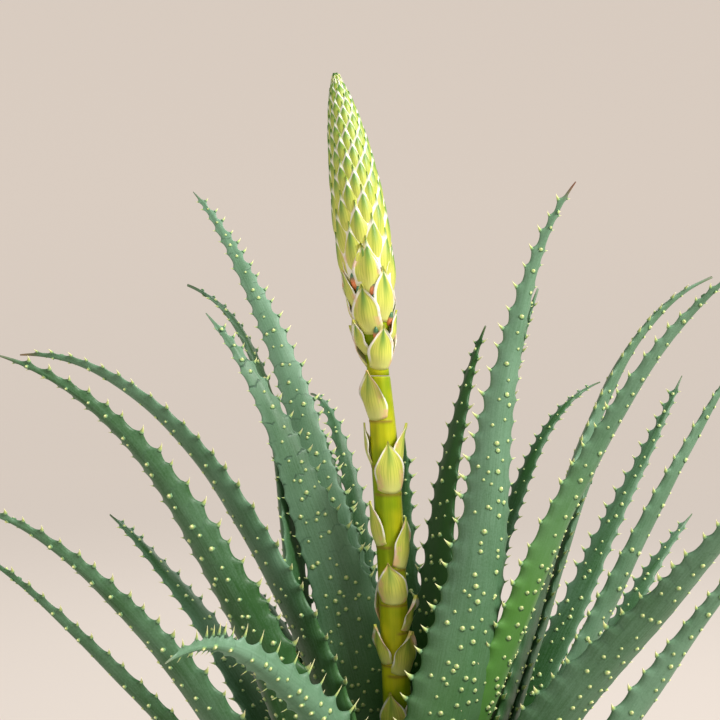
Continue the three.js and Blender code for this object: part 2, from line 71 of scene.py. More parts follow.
class Slot(Enum):
    """The record's material slots."""

    CLAY = "clay"
    SOIL = "soil"
    BARK = "bark"
    LEAF = "leaf"
    STALK = "flower_stalk"
    SPIKE = "flower_spike"


class Kind(Enum):
    """What a point of a leaf becomes in its geometry node tree."""

    BODY = 0.0
    TOOTH = 1.0
    PRICKLE = 2.0


# Small mathematics


def unit(vectors: Array) -> Array:
    """The vectors scaled to length one."""
    return vectors / np.linalg.norm(vectors, axis=-1, keepdims=True)


def direction(azimuth: Number, from_upright: Number) -> Array:
    """Unit vectors from an azimuth, from +X towards +Y, and an angle from upright, in degrees."""
    azimuth, upright = np.broadcast_arrays(np.radians(azimuth), np.radians(from_upright))
    level = np.sin(upright)
    return np.stack([level * np.cos(azimuth), level * np.sin(azimuth), np.cos(upright)], axis=-1)


def smoothstep(x: Number, low: float, high: float) -> Array:
    """0 below low, 1 above high and a smooth rise between."""
    share = np.clip((np.asarray(x, float) - low) / (high - low), 0, 1)
    return share * share * (3 - 2 * share)


def lerp(a: Number, b: Number, share: Number) -> Number:
    """The value at a share of the way from a to b."""
    return a + (b - a) * share


def at_level(height: Number, profile: Profile) -> Array:
    """The value of a profile at a height, from its pairs of value and height."""
    values, levels = zip(*profile)
    return np.interp(height, levels, values)


def around(sides: int) -> Array:
    """Equal turns round a circle, in radians."""
    return np.arange(sides) * math.tau / sides


def ring(radius: Number, level: float, sides: int) -> Array:
    """The points of a level ring round the upright axis."""
    turn = around(sides)
    return np.stack([radius * np.cos(turn), radius * np.sin(turn), np.full(sides, level)], axis=-1)


def bract_grid(rows: int, columns: int) -> tuple[Array, Array]:
    """Shares along a bract, and places across it from -1 to 1, for a grid of points."""
    return np.meshgrid(np.linspace(0, 1, rows), np.linspace(-1, 1, columns), indexing="ij")


def bract_shares(along: Array, widest: float) -> tuple[Array, Array]:
    """How far a point is on the way up to a bract's widest row, and from there to its tip."""
    return np.clip(along / widest, 0, 1), np.clip((along - widest) / (1 - widest), 0, 1)


def bract_outline(along: Array, widest: float, foot: float) -> Array:
    """A bract's width along it: foot at its base, one at its widest row and none at its tip."""
    rising, falling = bract_shares(along, widest)
    upper = np.cos(falling * math.pi / 2) ** 1.3
    return np.where(along < widest, foot + (1 - foot) * np.sin(rising * math.pi / 2), upper)


# Meshes


def tube_faces(rows: int, columns: int) -> Faces:
    """Faces of a grid of points that closes round its columns.

    Args:
        rows: Number of rings.
        columns: Points in each ring.

    Returns:
        Quads between the rings, and a cap on the first and the last ring.
    """
    row = np.arange(rows - 1)[:, None]
    column = np.arange(columns)[None, :]
    a = row * columns + column
    b = row * columns + (column + 1) % columns
    faces = np.stack([a, b, b + columns, a + columns], axis=-1).reshape(-1, 4).tolist()
    last = (rows - 1) * columns
    faces.append(list(range(columns - 1, -1, -1)))
    faces.append(list(range(last, last + columns)))
    return faces


def shell_faces(rows: int, columns: int) -> Faces:
    """Faces of a thin closed shell: an outer grid of points followed by an inner one.

    Args:
        rows: Rows of each grid.
        columns: Points in each row.

    Returns:
        Quads of both grids and of the rim that joins them.
    """
    size = rows * columns
    faces = []
    for i in range(rows - 1):
        for j in range(columns - 1):
            a = i * columns + j
            b = a + size
            faces.append([a, a + 1, a + columns + 1, a + columns])
            faces.append([b, b + columns, b + columns + 1, b + 1])
    rim = list(range(columns - 1))
    rim += [(i + 1) * columns - 1 for i in range(rows - 1)]
    rim += [size - 1 - i for i in range(columns - 1)]
    rim += [size - columns - i * columns for i in range(rows - 1)]
    for i, corner in enumerate(rim):
        after = rim[(i + 1) % len(rim)]
        faces.append([corner, corner + size, after + size, after])
    return faces


def linked(name: str, data: bpy.types.ID) -> Piece:
    """A new object in the scene that shows a mesh, a lamp or a camera."""
    piece = bpy.data.objects.new(name, data)
    bpy.context.scene.collection.objects.link(piece)
    return piece


def new_object(name: str, points: Array, faces: Faces, attributes: dict[str, Array] | None = None) -> Piece:
    """A smooth mesh object whose faces point outwards.

    Args:
        name: Name of the object.
        points: Its points, in metres.
        faces: Its faces, by point.
        attributes: Values or vectors for each point, by name.

    Returns:
        The object.
    """
    mesh = bpy.data.meshes.new(name)
    mesh.from_pydata(np.asarray(points, float).tolist(), [], faces)
    for key, values in (attributes or {}).items():
        values = np.asarray(values, np.float32)
        kind, slot = ("FLOAT", "value") if values.ndim == 1 else ("FLOAT_VECTOR", "vector")
        mesh.attributes.new(key, kind, "POINT").data.foreach_set(slot, values.ravel())
    shape = bmesh.new()
    shape.from_mesh(mesh)
    bmesh.ops.recalc_face_normals(shape, faces=shape.faces)
    shape.to_mesh(mesh)
    shape.free()
    mesh.shade_smooth()
    return linked(name, mesh)


def doubled(**values: Array) -> dict[str, Array]:
    """Attributes of a shell's outer grid given to its inner grid too."""
    return {key: np.tile(value.ravel(), 2) for key, value in values.items()}


def baked(source: Piece, name: str) -> Piece:
    """The evaluated mesh of an object as a plain object, in place of the source."""
    graph = bpy.context.evaluated_depsgraph_get()
    mesh = bpy.data.meshes.new_from_object(source.evaluated_get(graph))
    bpy.data.objects.remove(source)
    mesh.name = name
    return linked(name, mesh)


def joined(name: str, pieces: list[Piece]) -> Piece:
    """One object with a new name in place of several."""
    chosen = {"active_object": pieces[0], "selected_objects": pieces, "selected_editable_objects": pieces}
    with bpy.context.temp_override(**chosen):
        bpy.ops.object.join()
    pieces[0].name = name
    return pieces[0]


def finish_piece(piece: Piece, slot: Slot, *nodes: str) -> None:
    """Ties a piece to the frame and reports it.

    Args:
        piece: The finished object.
        slot: The record's slot for it; not used.
        nodes: CAD nodes it stands for.
    """
    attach(piece, BODY)
    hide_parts(*nodes)
    LOG.info("%s: %d faces", piece.name, len(piece.data.polygons))


# Materials


class Wiring:
    """A node tree being wired."""

    def __init__(self, tree: Tree) -> None:
        """Keeps the tree."""
        self.tree = tree

    def feed(self, target: Socket, value: object) -> None:
        """Gives an input a value, or joins it to the output of another node."""
        if isinstance(value, Socket):
            self.tree.links.new(value, target)
        else:
            target.default_value = value

    def node(self, kind: str, inputs: dict | None = None, **settings: object) -> Node:
        """A new node.

        Args:
            kind: Its type.
            inputs: Values or output sockets, by the input's name or number.
            settings: Its properties.

        Returns:
            The node.
        """
        made = self.tree.nodes.new(kind)
        for key, value in settings.items():
            setattr(made, key, value)
        for key, value in (inputs or {}).items():
            self.feed(made.inputs[key], value)
        return made


class Shading(Wiring):
    """The node tree of a material or of a shader node group."""

    def math(self, operation: str, *values: Socket | float, clamp: bool = False) -> Socket:
        """The result of a math node."""
        inputs = dict(enumerate(values))
        return self.node("ShaderNodeMath", inputs, operation=operation, use_clamp=clamp).outputs[0]

    def minus(self, first: Socket, second: Socket | float) -> Socket:
        """The first number less the second."""
        return self.math("SUBTRACT", first, second)

    def times(self, first: Socket, second: Socket | float) -> Socket:
        """The product of two numbers."""
        return self.math("MULTIPLY", first, second)

    def added(
        self, value: Socket, factor: Socket | float, base: Socket | float, clamp: bool = False
    ) -> Socket:
        """A number times a factor, added to a base."""
        return self.math("MULTIPLY_ADD", value, factor, base, clamp=clamp)

    def swung(self, value: Socket, factor: float, base: Socket) -> Socket:
        """A base that goes up and down as a value goes above and below a half."""
        return self.added(value, factor, self.minus(base, 0.5 * factor))

    def value(self, name: str) -> Socket:
        """The number that a piece's attribute holds."""
        return self.node("ShaderNodeAttribute", attribute_name=name).outputs["Fac"]

    def ramp(self, value: Socket, low: float, high: float) -> Socket:
        """0 to 1, smoothly, as a value goes from low to high."""
        inputs = {"Value": value, "From Min": low, "From Max": high}
        return self.node("ShaderNodeMapRange", inputs, interpolation_type="SMOOTHSTEP").outputs["Result"]

    def mix(self, share: Socket, first: Socket | Colour, second: Socket | Colour) -> Socket:
        """The colour at a share of the way between two colours."""
        low, high = ((*colour, 1) if isinstance(colour, tuple) else colour for colour in (first, second))
        return self.node("ShaderNodeMix", {0: share, 6: low, 7: high}, data_type="RGBA").outputs[2]

    def vector(self, x: Socket, y: Socket, z: Socket | float = 0.0) -> Socket:
        """A vector from three numbers."""
        return self.node("ShaderNodeCombineXYZ", {0: x, 1: y, 2: z}).outputs[0]

    def noise(self, place: Socket, scale: Socket | float, detail: float, rough: float = 0.5) -> Socket:
        """The values of a noise texture."""
        inputs = {"Vector": place, "Scale": scale, "Detail": detail, "Roughness": rough}
        return self.node("ShaderNodeTexNoise", inputs).outputs["Fac"]

    def mottle(self, blotch: float, grain: float, contrast: float) -> tuple[Socket, Socket]:
        """The shared blotches and the shared grain, by their scales."""
        inputs = {"Blotch scale": blotch, "Grain scale": grain, "Contrast": contrast}
        made = self.node("ShaderNodeGroup", inputs, node_tree=bpy.data.node_groups[MOTTLE])
        return made.outputs["Value"], made.outputs["Height"]

    def fibre(self, across: Socket, along: Socket, lines_across: float, lines_along: float) -> Socket:
        """The shared fine lines, by their numbers across and along."""
        inputs = {"Across": across, "Along": along, "Lines across": lines_across, "Lines along": lines_along}
        return self.node("ShaderNodeGroup", inputs, node_tree=bpy.data.node_groups[FIBRE]).outputs["Lines"]


class Effect(Shading):
    """A shader node group being wired, with named inputs and outputs."""

    def __init__(self, name: str, inputs: dict[str, float], outputs: Sequence[str]) -> None:
        """Makes the group and its sockets.

        Args:
            name: Name of the group.
            inputs: Default values by input name.
            outputs: Names of the outputs.
        """
        super().__init__(bpy.data.node_groups.new(name, "ShaderNodeTree"))
        new_socket = self.tree.interface.new_socket
        for key, value in inputs.items():
            new_socket(key, in_out="INPUT", socket_type="NodeSocketFloat").default_value = value
        for key in outputs:
            new_socket(key, in_out="OUTPUT", socket_type="NodeSocketFloat")
        self.given = self.tree.nodes.new("NodeGroupInput").outputs
        self.wanted = self.tree.nodes.new("NodeGroupOutput").inputs


def mottle_group() -> None:
    """Makes the group of blotches and fine grain over a surface, in object coordinates."""
    shade = Effect(MOTTLE, {"Blotch scale": 40.0, "Grain scale": 400.0, "Contrast": 1.0}, ("Value", "Height"))
    place = shade.node("ShaderNodeTexCoord").outputs["Object"]
    blotch = shade.minus(shade.noise(place, shade.given["Blotch scale"], 3.0, 0.55), 0.5)
    shade.feed(shade.wanted["Value"], shade.added(blotch, shade.given["Contrast"], 0.5, clamp=True))
    shade.feed(shade.wanted["Height"], shade.noise(place, shade.given["Grain scale"], 2.0, 0.6))


def fibre_group() -> None:
    """Makes the group of fine lines along a leaf, a bract or the stalk."""
    inputs = {"Across": 0.0, "Along": 0.0, "Lines across": 30.0, "Lines along": 2.0}
    shade = Effect(FIBRE, inputs, ("Lines",))
    x = shade.times(shade.given["Across"], shade.given["Lines across"])
    y = shade.times(shade.given["Along"], shade.given["Lines along"])
    shade.feed(shade.wanted["Lines"], shade.noise(shade.vector(x, y), 1.0, 2.0, 0.6))


@dataclass(frozen=True)
class Finish:
    """What every finish shares: a name, a roughness, a sheen and the strength of its relief."""

    name: str
    roughness: float = 0.5
    bump: float = 0.2
    bump_distance: float = 0.3 * MM
    sheen: float = 0.5

    def material(self) -> Material:
        """The finished material."""
        material = bpy.data.materials.new(self.name)
        material.use_nodes = True
        shade = Shading(material.node_tree)
        shader = material.node_tree.nodes["Principled BSDF"]
        shader.inputs["Roughness"].default_value = self.roughness
        shader.inputs["Specular IOR Level"].default_value = self.sheen
        shade.feed(shader.inputs["Base Color"], self.paint(shade, shader))
        return material

    def paint(self, shade: Shading, shader: Node) -> Socket:
        """The surface's colour; each kind of finish has its own."""
        raise NotImplementedError(self.name)

    def relief(self, shade: Shading, shader: Node, height: Socket) -> None:
        """Feeds a height to the shader's normal."""
        inputs = {"Strength": self.bump, "Distance": self.bump_distance, "Height": height}
        shade.feed(shader.inputs["Normal"], shade.node("ShaderNodeBump", inputs).outputs[0])


@dataclass(frozen=True)
class LeafSkin(Finish):
    """Waxy grey-green skin with fibres, a patchy bloom, fine transverse creases and painted light and shade.
    """

    deep: Colour = (0.022, 0.088, 0.018)
    bloom: Colour = (0.205, 0.365, 0.245)
    fresh: Colour = (0.095, 0.265, 0.035)
    brown: Colour = (0.21, 0.085, 0.045)
    crease_shade: Colour = (0.035, 0.085, 0.05)

    def creases(self, shade: Shading, across: Socket, along: Socket, tone: Socket) -> Socket:
        """The strength of the broken creases that run across the leaf, for their relief and their painted
        shade.

        Args:
            shade: The material's tree.
            across: Distance from the leaf's middle.
            along: Distance from its root.
            tone: A number that differs between leaves.

        Returns:
            The strength.
        """
        bow = shade.noise(shade.vector(shade.times(across, 0.16), shade.times(along, 0.04), tone), 1.0, 3.0)
        phase = shade.math("FRACT", shade.added(along, 0.12, shade.times(bow, 1.1)))
        away = shade.math("ABSOLUTE", shade.minus(phase, 0.5))
        spread = shade.vector(shade.times(across, 0.13), shade.times(along, 0.06), tone)
        kept = shade.ramp(shade.noise(spread, 2.1, 1.0), 0.56, 0.44)
        return shade.times(shade.ramp(away, 0.09, 0.0), kept)

    def paint(self, shade: Shading, shader: Node) -> Socket:
        """The leaf's colour from its own attributes, its roughness and its relief.

        Args:
            shade: The material's tree.
            shader: Its shader.

        Returns:
            The colour.
        """
        names = ("across_mm", "along_mm", "share", "tone", "painted_foot_light")
        across, along, share, tone, painted_foot_light = map(shade.value, names)
        patches, grain = shade.mottle(24.0, 1400.0, 1.8)
        lines = shade.fibre(across, along, 1.9, 0.06)
        bloom = shade.swung(grain, 0.35, shade.swung(lines, 0.45, shade.swung(patches, 0.5, tone)))
        # Painted shade: the blade is painted darker from three quarters of its length down to its root.
        bloom = shade.added(shade.ramp(share, 0.75, 0.1), -0.34, bloom)
        # The inner face is painted darker, most along its middle: partly its own deeper green, partly painted
        # shade in its hollow.
        bloom = shade.added(shade.value("inside"), -0.3, bloom, clamp=True)
        # A fresh green foot on every leaf; on some leaves it is spread and brightened as painted light on the
        # foot.
        fresh_foot_and_light = shade.ramp(shade.added(painted_foot_light, -0.3, share), 0.42, 0.05)
        fresh_foot_and_light = shade.times(fresh_foot_and_light, shade.added(painted_foot_light, 0.38, 0.38))
        colour = shade.mix(fresh_foot_and_light, shade.mix(bloom, self.deep, self.bloom), self.fresh)
        line = shade.times(self.creases(shade, across, along, tone), shade.value("creased"))
        line = shade.times(line, shade.ramp(share, 0.38, 0.66))
        # Painted shade: the creases are painted darker, besides their bump.
        colour = shade.mix(shade.times(line, 0.85), colour, self.crease_shade)
        ripe = shade.times(shade.ramp(share, 0.962, 0.995), shade.value("blush"))
        shade.feed(shader.inputs["Roughness"], shade.added(patches, 0.16, self.roughness - 0.08))
        height = shade.added(line, -1.6, shade.times(lines, 0.5))
        self.relief(shade, shader, shade.added(grain, 0.25, height))
        return shade.mix(ripe, colour, self.brown)


@dataclass(frozen=True)
class ThornSkin(Finish):
    """Horny yellow teeth and prickles that rise from a green foot."""

    foot: Colour = (0.15, 0.325, 0.155)
    body: Colour = (0.53, 0.64, 0.19)
    point: Colour = (0.86, 0.83, 0.47)

    def paint(self, shade: Shading, shader: Node) -> Socket:
        """The colour, from how far up a thorn a point is."""
        colour = shade.mix(shade.ramp(shade.value("rise"), 0.0, 0.42), self.foot, self.body)
        return shade.mix(shade.ramp(shade.value("rise"), 0.3, 0.85), colour, self.point)


@dataclass(frozen=True)
class BractSkin(Finish):
    """A papery bract: fine lines, a green keel and point, and pale margins with some pink.

    The attribute young is 0 on an open bract and goes to 1 on the closed scales at the
    tip of the spike, which are greener. The attribute green is the strength of its keel
    and point, and margin is the width of the pale margin in millimetres.
    """

    body: Colour = (0.62, 0.63, 0.10)
    foot: Colour = (0.66, 0.68, 0.20)
    line: Colour = (0.34, 0.42, 0.04)
    green: Colour = (0.21, 0.38, 0.03)
    keel: Colour = (0.07, 0.22, 0.035)
    margin: Colour = (0.86, 0.84, 0.72)
    pink: Colour = (0.78, 0.42, 0.27)
    pink_share: float = 0.6

    def paint(self, shade: Shading, shader: Node) -> Socket:
        """The bract's colour from its own attributes, and its relief.

        Args:
            shade: The material's tree.
            shader: Its shader.

        Returns:
            The colour.
        """
        across, along, young, green = map(shade.value, ("across", "along", "young", "green"))
        side = shade.math("ABSOLUTE", across)
        lines = shade.fibre(across, along, 11.0, 0.7)
        patches, _ = shade.mottle(170.0, 900.0, 3.0)
        dark = shade.times(shade.ramp(lines, 0.48, 0.6), shade.ramp(along, 0.05, 0.4))
        colour = shade.mix(shade.ramp(along, 0.0, 0.45), self.foot, self.body)
        colour = shade.mix(shade.times(dark, 0.6), colour, self.line)
        reach = shade.ramp(shade.added(young, -0.22, along), 0.25, 0.75)
        spread = shade.added(young, -0.3, side)
        fresh = shade.times(shade.times(reach, shade.ramp(spread, 0.5, 0.05)), green)
        colour = shade.mix(shade.added(young, 0.45, fresh, clamp=True), colour, self.green)
        tip = shade.times(shade.ramp(spread, 0.42, 0.0), shade.ramp(along, 0.42, 0.85))
        colour = shade.mix(shade.times(tip, green), colour, self.keel)
        rim = shade.added(lines, -0.6, shade.times(shade.value("rim"), shade.value("wide")))
        edge = shade.ramp(shade.minus(rim, shade.value("margin")), 0.0, -0.5)
        edge = shade.times(shade.times(edge, shade.ramp(along, 0.08, 0.3)), shade.ramp(along, 0.94, 0.78))
        colour = shade.mix(edge, colour, self.margin)
        flush = shade.times(shade.ramp(side, 0.35, 0.8), shade.ramp(patches, 0.45, 0.8))
        flush = shade.times(flush, shade.added(young, -self.pink_share, self.pink_share))
        self.relief(shade, shader, lines)
        return shade.mix(flush, colour, self.pink)


@dataclass(frozen=True)
class BudSkin(Finish):
    """A flower bud: orange-pink with a green point."""

    body: Colour = (0.78, 0.24, 0.09)
    point: Colour = (0.065, 0.19, 0.085)

    def paint(self, shade: Shading, shader: Node) -> Socket:
        """The colour, from how far up a bud a point is."""
        return shade.mix(shade.ramp(shade.value("rise"), 0.4, 0.7), self.body, self.point)


@dataclass(frozen=True)
class StalkSkin(Finish):
    """Smooth olive stalk, yellower in patches, with a brown line under each bract."""

    olive: Colour = (0.205, 0.31, 0.004)
    yellow: Colour = (0.53, 0.51, 0.012)
    scar: Colour = (0.24, 0.13, 0.03)

    def paint(self, shade: Shading, shader: Node) -> Socket:
        """The stalk's colour and relief.

        Args:
            shade: The material's tree.
            shader: Its shader.

        Returns:
            The colour.
        """
        lines = shade.fibre(shade.value("across"), shade.value("along"), 40.0, 3.0)
        patches, _ = shade.mottle(30.0, 700.0, 2.2)
        colour = shade.mix(shade.ramp(shade.added(lines, 0.25, patches), 0.4, 0.95), self.olive, self.yellow)
        self.relief(shade, shader, lines)
        return shade.mix(shade.times(shade.value("scar"), 0.8), colour, self.scar)


@dataclass(frozen=True, kw_only=True)
class RoughSkin(Finish):
    """A dull two-tone surface with blotches, grain and dark flecks, for clay, soil and bark."""

    first: Colour
    second: Colour
    blotch: float
    grain: float
    contrast: float
    fleck: float = 0.35

    def paint(self, shade: Shading, shader: Node) -> Socket:
        """The surface's colour and relief.

        Args:
            shade: The material's tree.
            shader: Its shader.

        Returns:
            The colour.
        """
        patches, grain = shade.mottle(self.blotch, self.grain, self.contrast)
        flecks = shade.times(shade.ramp(grain, 0.55, 0.75), self.fleck)
        self.relief(shade, shader, grain)
        dark = tuple(0.5 * tone for tone in self.second)
        return shade.mix(flecks, shade.mix(patches, self.first, self.second), dark)


class Finishes:
    """Every material of the plant and its pot."""

    def __init__(self) -> None:
        """Builds the shared groups and the materials."""
        mottle_group()
        fibre_group()
        self.leaf = LeafSkin(
            "Leaf skin", roughness=0.46, bump=0.35, bump_distance=0.25 * MM, sheen=0.35
        ).material()
        self.thorn = ThornSkin("Horny teeth", roughness=0.6).material()
        self.bract = BractSkin("Papery bract", roughness=0.42, bump=0.4, bump_distance=0.2 * MM).material()
        self.bud = BudSkin("Bud", roughness=0.4).material()
        self.stalk = StalkSkin("Stalk skin", roughness=0.42, bump=0.15, sheen=0.12).material()
        self.bark = RoughSkin(
            name="Old bark", roughness=0.85, bump=0.8, bump_distance=0.6 * MM,
            first=(0.27, 0.20, 0.125), second=(0.13, 0.09, 0.055),
            blotch=90.0, grain=420.0, contrast=2.2,
        ).material()
        self.clay = RoughSkin(
            name="Fired clay", roughness=0.8, bump=0.35, bump_distance=0.25 * MM,
            first=(0.50, 0.215, 0.125), second=(0.40, 0.165, 0.095),
            blotch=14.0, grain=900.0, contrast=1.6,
        ).material()
        self.soil = RoughSkin(
            name="Potting soil", roughness=0.95, bump=1.0, bump_distance=1.0 * MM,
            first=(0.050, 0.033, 0.022), second=(0.022, 0.014, 0.010),
            blotch=140.0, grain=520.0, contrast=2.4,
        ).material()
        self.crumb = RoughSkin(
            name="Soil crumb", roughness=0.95, bump=0.7, bump_distance=0.4 * MM,
            first=(0.105, 0.068, 0.043), second=(0.032, 0.021, 0.014),
            blotch=160.0, grain=700.0, contrast=3.0,
        ).material()


# Geometry node trees


def in_use(sockets: Iterable[Socket]) -> list[Socket]:
    """The sockets that a node's settings leave in use."""
    return [socket for socket in sockets if socket.enabled]


class Growth(Wiring):
    """A geometry node tree being wired."""

    def __init__(self, name: str) -> None:
        """Starts a tree with a geometry input and output."""
        super().__init__(bpy.data.node_groups.new(name, "GeometryNodeTree"))
        for way in ("INPUT", "OUTPUT"):
            self.tree.interface.new_socket("Geometry", in_out=way, socket_type="NodeSocketGeometry")
        self.start = self.tree.nodes.new("NodeGroupInput")
        self.end = self.tree.nodes.new("NodeGroupOutput")

    def ask(self, name: str, kind: str, default: float | None = None) -> Socket:
        """A named input of the tree.

        Args:
            name: Name of the input.
            kind: Its socket type without the prefix NodeSocket.
            default: Its default value, if it has one.

        Returns:
            The input's socket inside the tree.
        """
        socket = self.tree.interface.new_socket(name, in_out="INPUT", socket_type=f"NodeSocket{kind}")
        if default is not None:
            socket.default_value = default
        return self.start.outputs[name]

    def vectors(self, name: str) -> Socket:
        """A named attribute of the points that holds vectors."""
        made = self.node("GeometryNodeInputNamedAttribute", {"Name": name}, data_type="FLOAT_VECTOR")
        return in_use(made.outputs)[0]

    def compare(self, operation: str, first: Socket, second: float) -> Socket:
        """Whether a comparison of two numbers holds."""
        inputs = {0: first, 1: second}
        return self.node("FunctionNodeCompare", inputs, data_type="FLOAT", operation=operation).outputs[0]

    def split(self, geometry: Socket, kind: Kind) -> tuple[Socket, Socket]:
        """The points of one kind, and the rest."""
        made = self.node("GeometryNodeInputNamedAttribute", {"Name": "kind"}, data_type="FLOAT")
        chosen = self.compare("EQUAL", in_use(made.outputs)[0], kind.value)
        made = self.node("GeometryNodeSeparateGeometry", {"Geometry": geometry, "Selection": chosen})
        return made.outputs[0], made.outputs[1]

    def painted(self, geometry: Socket, material: Socket) -> Socket:
        """A geometry in a material."""
        return self.node("GeometryNodeSetMaterial", {"Geometry": geometry, "Material": material}).outputs[0]

    def copies(self, points: Socket, shape: Socket, turn: Socket, scale: Socket, material: Socket) -> Socket:
        """Realized copies of a shape on points, in a material."""
        inputs = {"Points": points, "Instance": shape, "Rotation": turn, "Scale": scale}
        placed = self.node("GeometryNodeInstanceOnPoints", inputs)
        solid = self.node("GeometryNodeRealizeInstances", {"Geometry": placed.outputs[0]})
        return self.painted(solid.outputs[0], material)

    def grow(self, points: Socket, source: Socket, length: Socket, girth: Socket, material: Socket) -> Socket:
        """Copies of an object on points, turned and sized by the points' attributes.

        Args:
            points: The points, with the vectors axis, front and size.
            source: The object to copy.
            length: A factor on every copy's length.
            girth: A factor on every copy's width and depth.
            material: The copies' material.

        Returns:
            The realized copies.
        """
        axes = {"Primary Axis": self.vectors("axis"), "Secondary Axis": self.vectors("front")}
        turn = self.node("FunctionNodeAxesToRotation", axes, primary_axis="Z", secondary_axis="X")
        factor = self.node("ShaderNodeCombineXYZ", {0: girth, 1: girth, 2: length}).outputs[0]
        size = self.node("ShaderNodeVectorMath", {0: self.vectors("size"), 1: factor}, operation="MULTIPLY")
        shape = self.node("GeometryNodeObjectInfo", {"Object": source}).outputs["Geometry"]
        return self.copies(points, shape, turn.outputs[0], size.outputs[0], material)

    def finish(self, *parts: Socket) -> Tree:
        """The finished tree, whose output is the parts joined."""
        join = self.node("GeometryNodeJoinGeometry")
        for part in parts:
            self.tree.links.new(part, join.inputs[0])
        self.tree.links.new(join.outputs[0], self.end.inputs[0])
        return self.tree


def grown(piece: Piece, tree: Tree, values: dict[str, object], name: str) -> Piece:
    """A piece after a geometry node tree has run on it.

    Args:
        piece: The source object, which is used up.
        tree: The tree.
        values: The tree's inputs by name.
        name: Name of the result.

    Returns:
        A plain object.
    """
    modifier = piece.modifiers.new(tree.name, "NODES")
    modifier.node_group = tree
    for item in tree.interface.items_tree:
        if item.in_out == "INPUT" and item.name in values:
            modifier[item.identifier] = values[item.name]
    piece.update_tag()
    return baked(piece, name)


def armour_tree() -> Tree:
    """Leaf blades that grow marginal teeth and prickles on their marked points."""
    growth = Growth("Leaf armour")
    tooth, prickle = growth.ask("Tooth", "Object"), growth.ask("Prickle", "Object")
    factors = [growth.ask(name, "Float", 1.0) for name in FACTORS]
    skin, horn = growth.ask("Skin", "Material"), growth.ask("Horn", "Material")
    blade, sites = growth.split(growth.start.outputs["Geometry"], Kind.BODY)
    teeth, prickles = growth.split(sites, Kind.TOOTH)
    return growth.finish(
        growth.grow(prickles, prickle, *factors[2:], horn),
        growth.grow(teeth, tooth, *factors[:2], horn),
        growth.painted(blade, skin),
    )


def cover_tree() -> Tree:
    """Copies of one shape on every point, such as scales or buds on a spike."""
    growth = Growth("Spike cover")
    shape = growth.ask("Shape", "Object")
    length, girth = growth.ask("Length", "Float", 1.0), growth.ask("Width", "Float", 1.0)
    skin = growth.ask("Skin", "Material")
    return growth.finish(growth.grow(growth.start.outputs["Geometry"], shape, length, girth, skin))


def crumb_tree() -> Tree:
    """Crumbs scattered over the upper faces of the soil by a fixed seed."""
    growth = Growth("Soil crumbs")
    density = growth.ask("Crumbs per square metre", "Float", 30000.0)
    seed = growth.ask("Seed", "Int", 3)
    limits = growth.ask("Smallest", "Float", 0.4 * MM), growth.ask("Largest", "Float", 1.6 * MM)
    soil, crumb = growth.ask("Soil", "Material"), growth.ask("Crumb", "Material")
    ground = growth.start.outputs["Geometry"]
    normal = growth.node("GeometryNodeInputNormal").outputs[0]
    upward = growth.node("ShaderNodeSeparateXYZ", {0: normal}).outputs["Z"]
    inputs = {"Mesh": ground, "Selection": growth.compare("GREATER_THAN", upward, 0.5), "Density": density}
    points = growth.node("GeometryNodeDistributePointsOnFaces", inputs | {"Seed": seed})
    size = growth.node("FunctionNodeRandomValue", {"Seed": seed}, data_type="FLOAT")
    turn = growth.node("FunctionNodeRandomValue", {"Seed": seed}, data_type="FLOAT_VECTOR")
    for made, ends in ((size, limits), (turn, ((0, 0, 0), (math.tau, math.tau, math.tau)))):
        for socket, end in zip(in_use(made.inputs), ends):
            growth.feed(socket, end)
    stone = growth.node("GeometryNodeMeshIcoSphere", {"Radius": 1.0, "Subdivisions": 1}).outputs[0]
    scale, angles = in_use(size.outputs)[0], in_use(turn.outputs)[0]
    crumbs = growth.copies(points.outputs[0], stone, angles, scale, crumb)
    return growth.finish(crumbs, growth.painted(ground, soil))


@dataclass(frozen=True)
class Sites:
    """Points that carry a small shape each: where it stands, points and faces, and its size."""

    foot: Array
    axis: Array
    front: Array
    size: Array

    def vectors(self) -> dict[str, Array]:
        """The attributes that turn and size the shapes, with the sizes in metres."""
        return {"axis": self.axis, "front": self.front, "size": self.size * MM}


def merged(groups: Sequence[Sites]) -> Sites:
    """Several groups of sites as one."""
    columns = zip(*[(group.foot, group.axis, group.front, group.size) for group in groups])
    return Sites(*(np.concatenate(column) for column in columns))


# Small shapes that the trees copy


def thorn_shape(name: str, sides: int, rings: int, hook: float, blunt: float, skirt: float) -> Piece:
    """A pointed cone of height and radius one, bent towards its front.

    Args:
        name: Name of the object.
        sides: Sides of the cone.
        rings: Rings below the point, closer together towards the foot.
        hook: How far the point bends towards +X, as a share of the height.
        blunt: Power of the radius up the cone: above one is a slimmer point.
        skirt: How far the foot spreads beyond the cone.

    Returns:
        The object, with its foot a little below the origin.
    """
    points = []
    shares = [(i / rings) ** 1.4 for i in range(rings)]
    for share in shares:
        radius = (1 - share) ** blunt + skirt * (1 - share) ** 9
        points.append(ring(radius, lerp(-0.15, 1, share), sides) + np.array([hook * share ** 2, 0, 0]))
    points.append(np.array([[hook, 0, 1.0]]))
    faces = tube_faces(rings, sides)[:-1]
    last = (rings - 1) * sides
    faces += [[last + i, last + (i + 1) % sides, last + sides] for i in range(sides)]
    rise = np.append(np.repeat(shares, sides), 1.0)
    return new_object(name, np.concatenate(points), faces, {"rise": rise})


def bud_shape() -> Piece:
    """A slim bud of length one and diameter one."""
    rings, sides = 9, 10
    shares = [(i + 0.35) / rings for i in range(rings)]
    points = [ring(0.5 * math.sin(math.pi * share ** 0.8) ** 0.7, share, sides) for share in shares]
    rise = np.repeat(shares, sides)
    return new_object("bud_shape", np.concatenate(points), tube_faces(rings, sides), {"rise": rise})


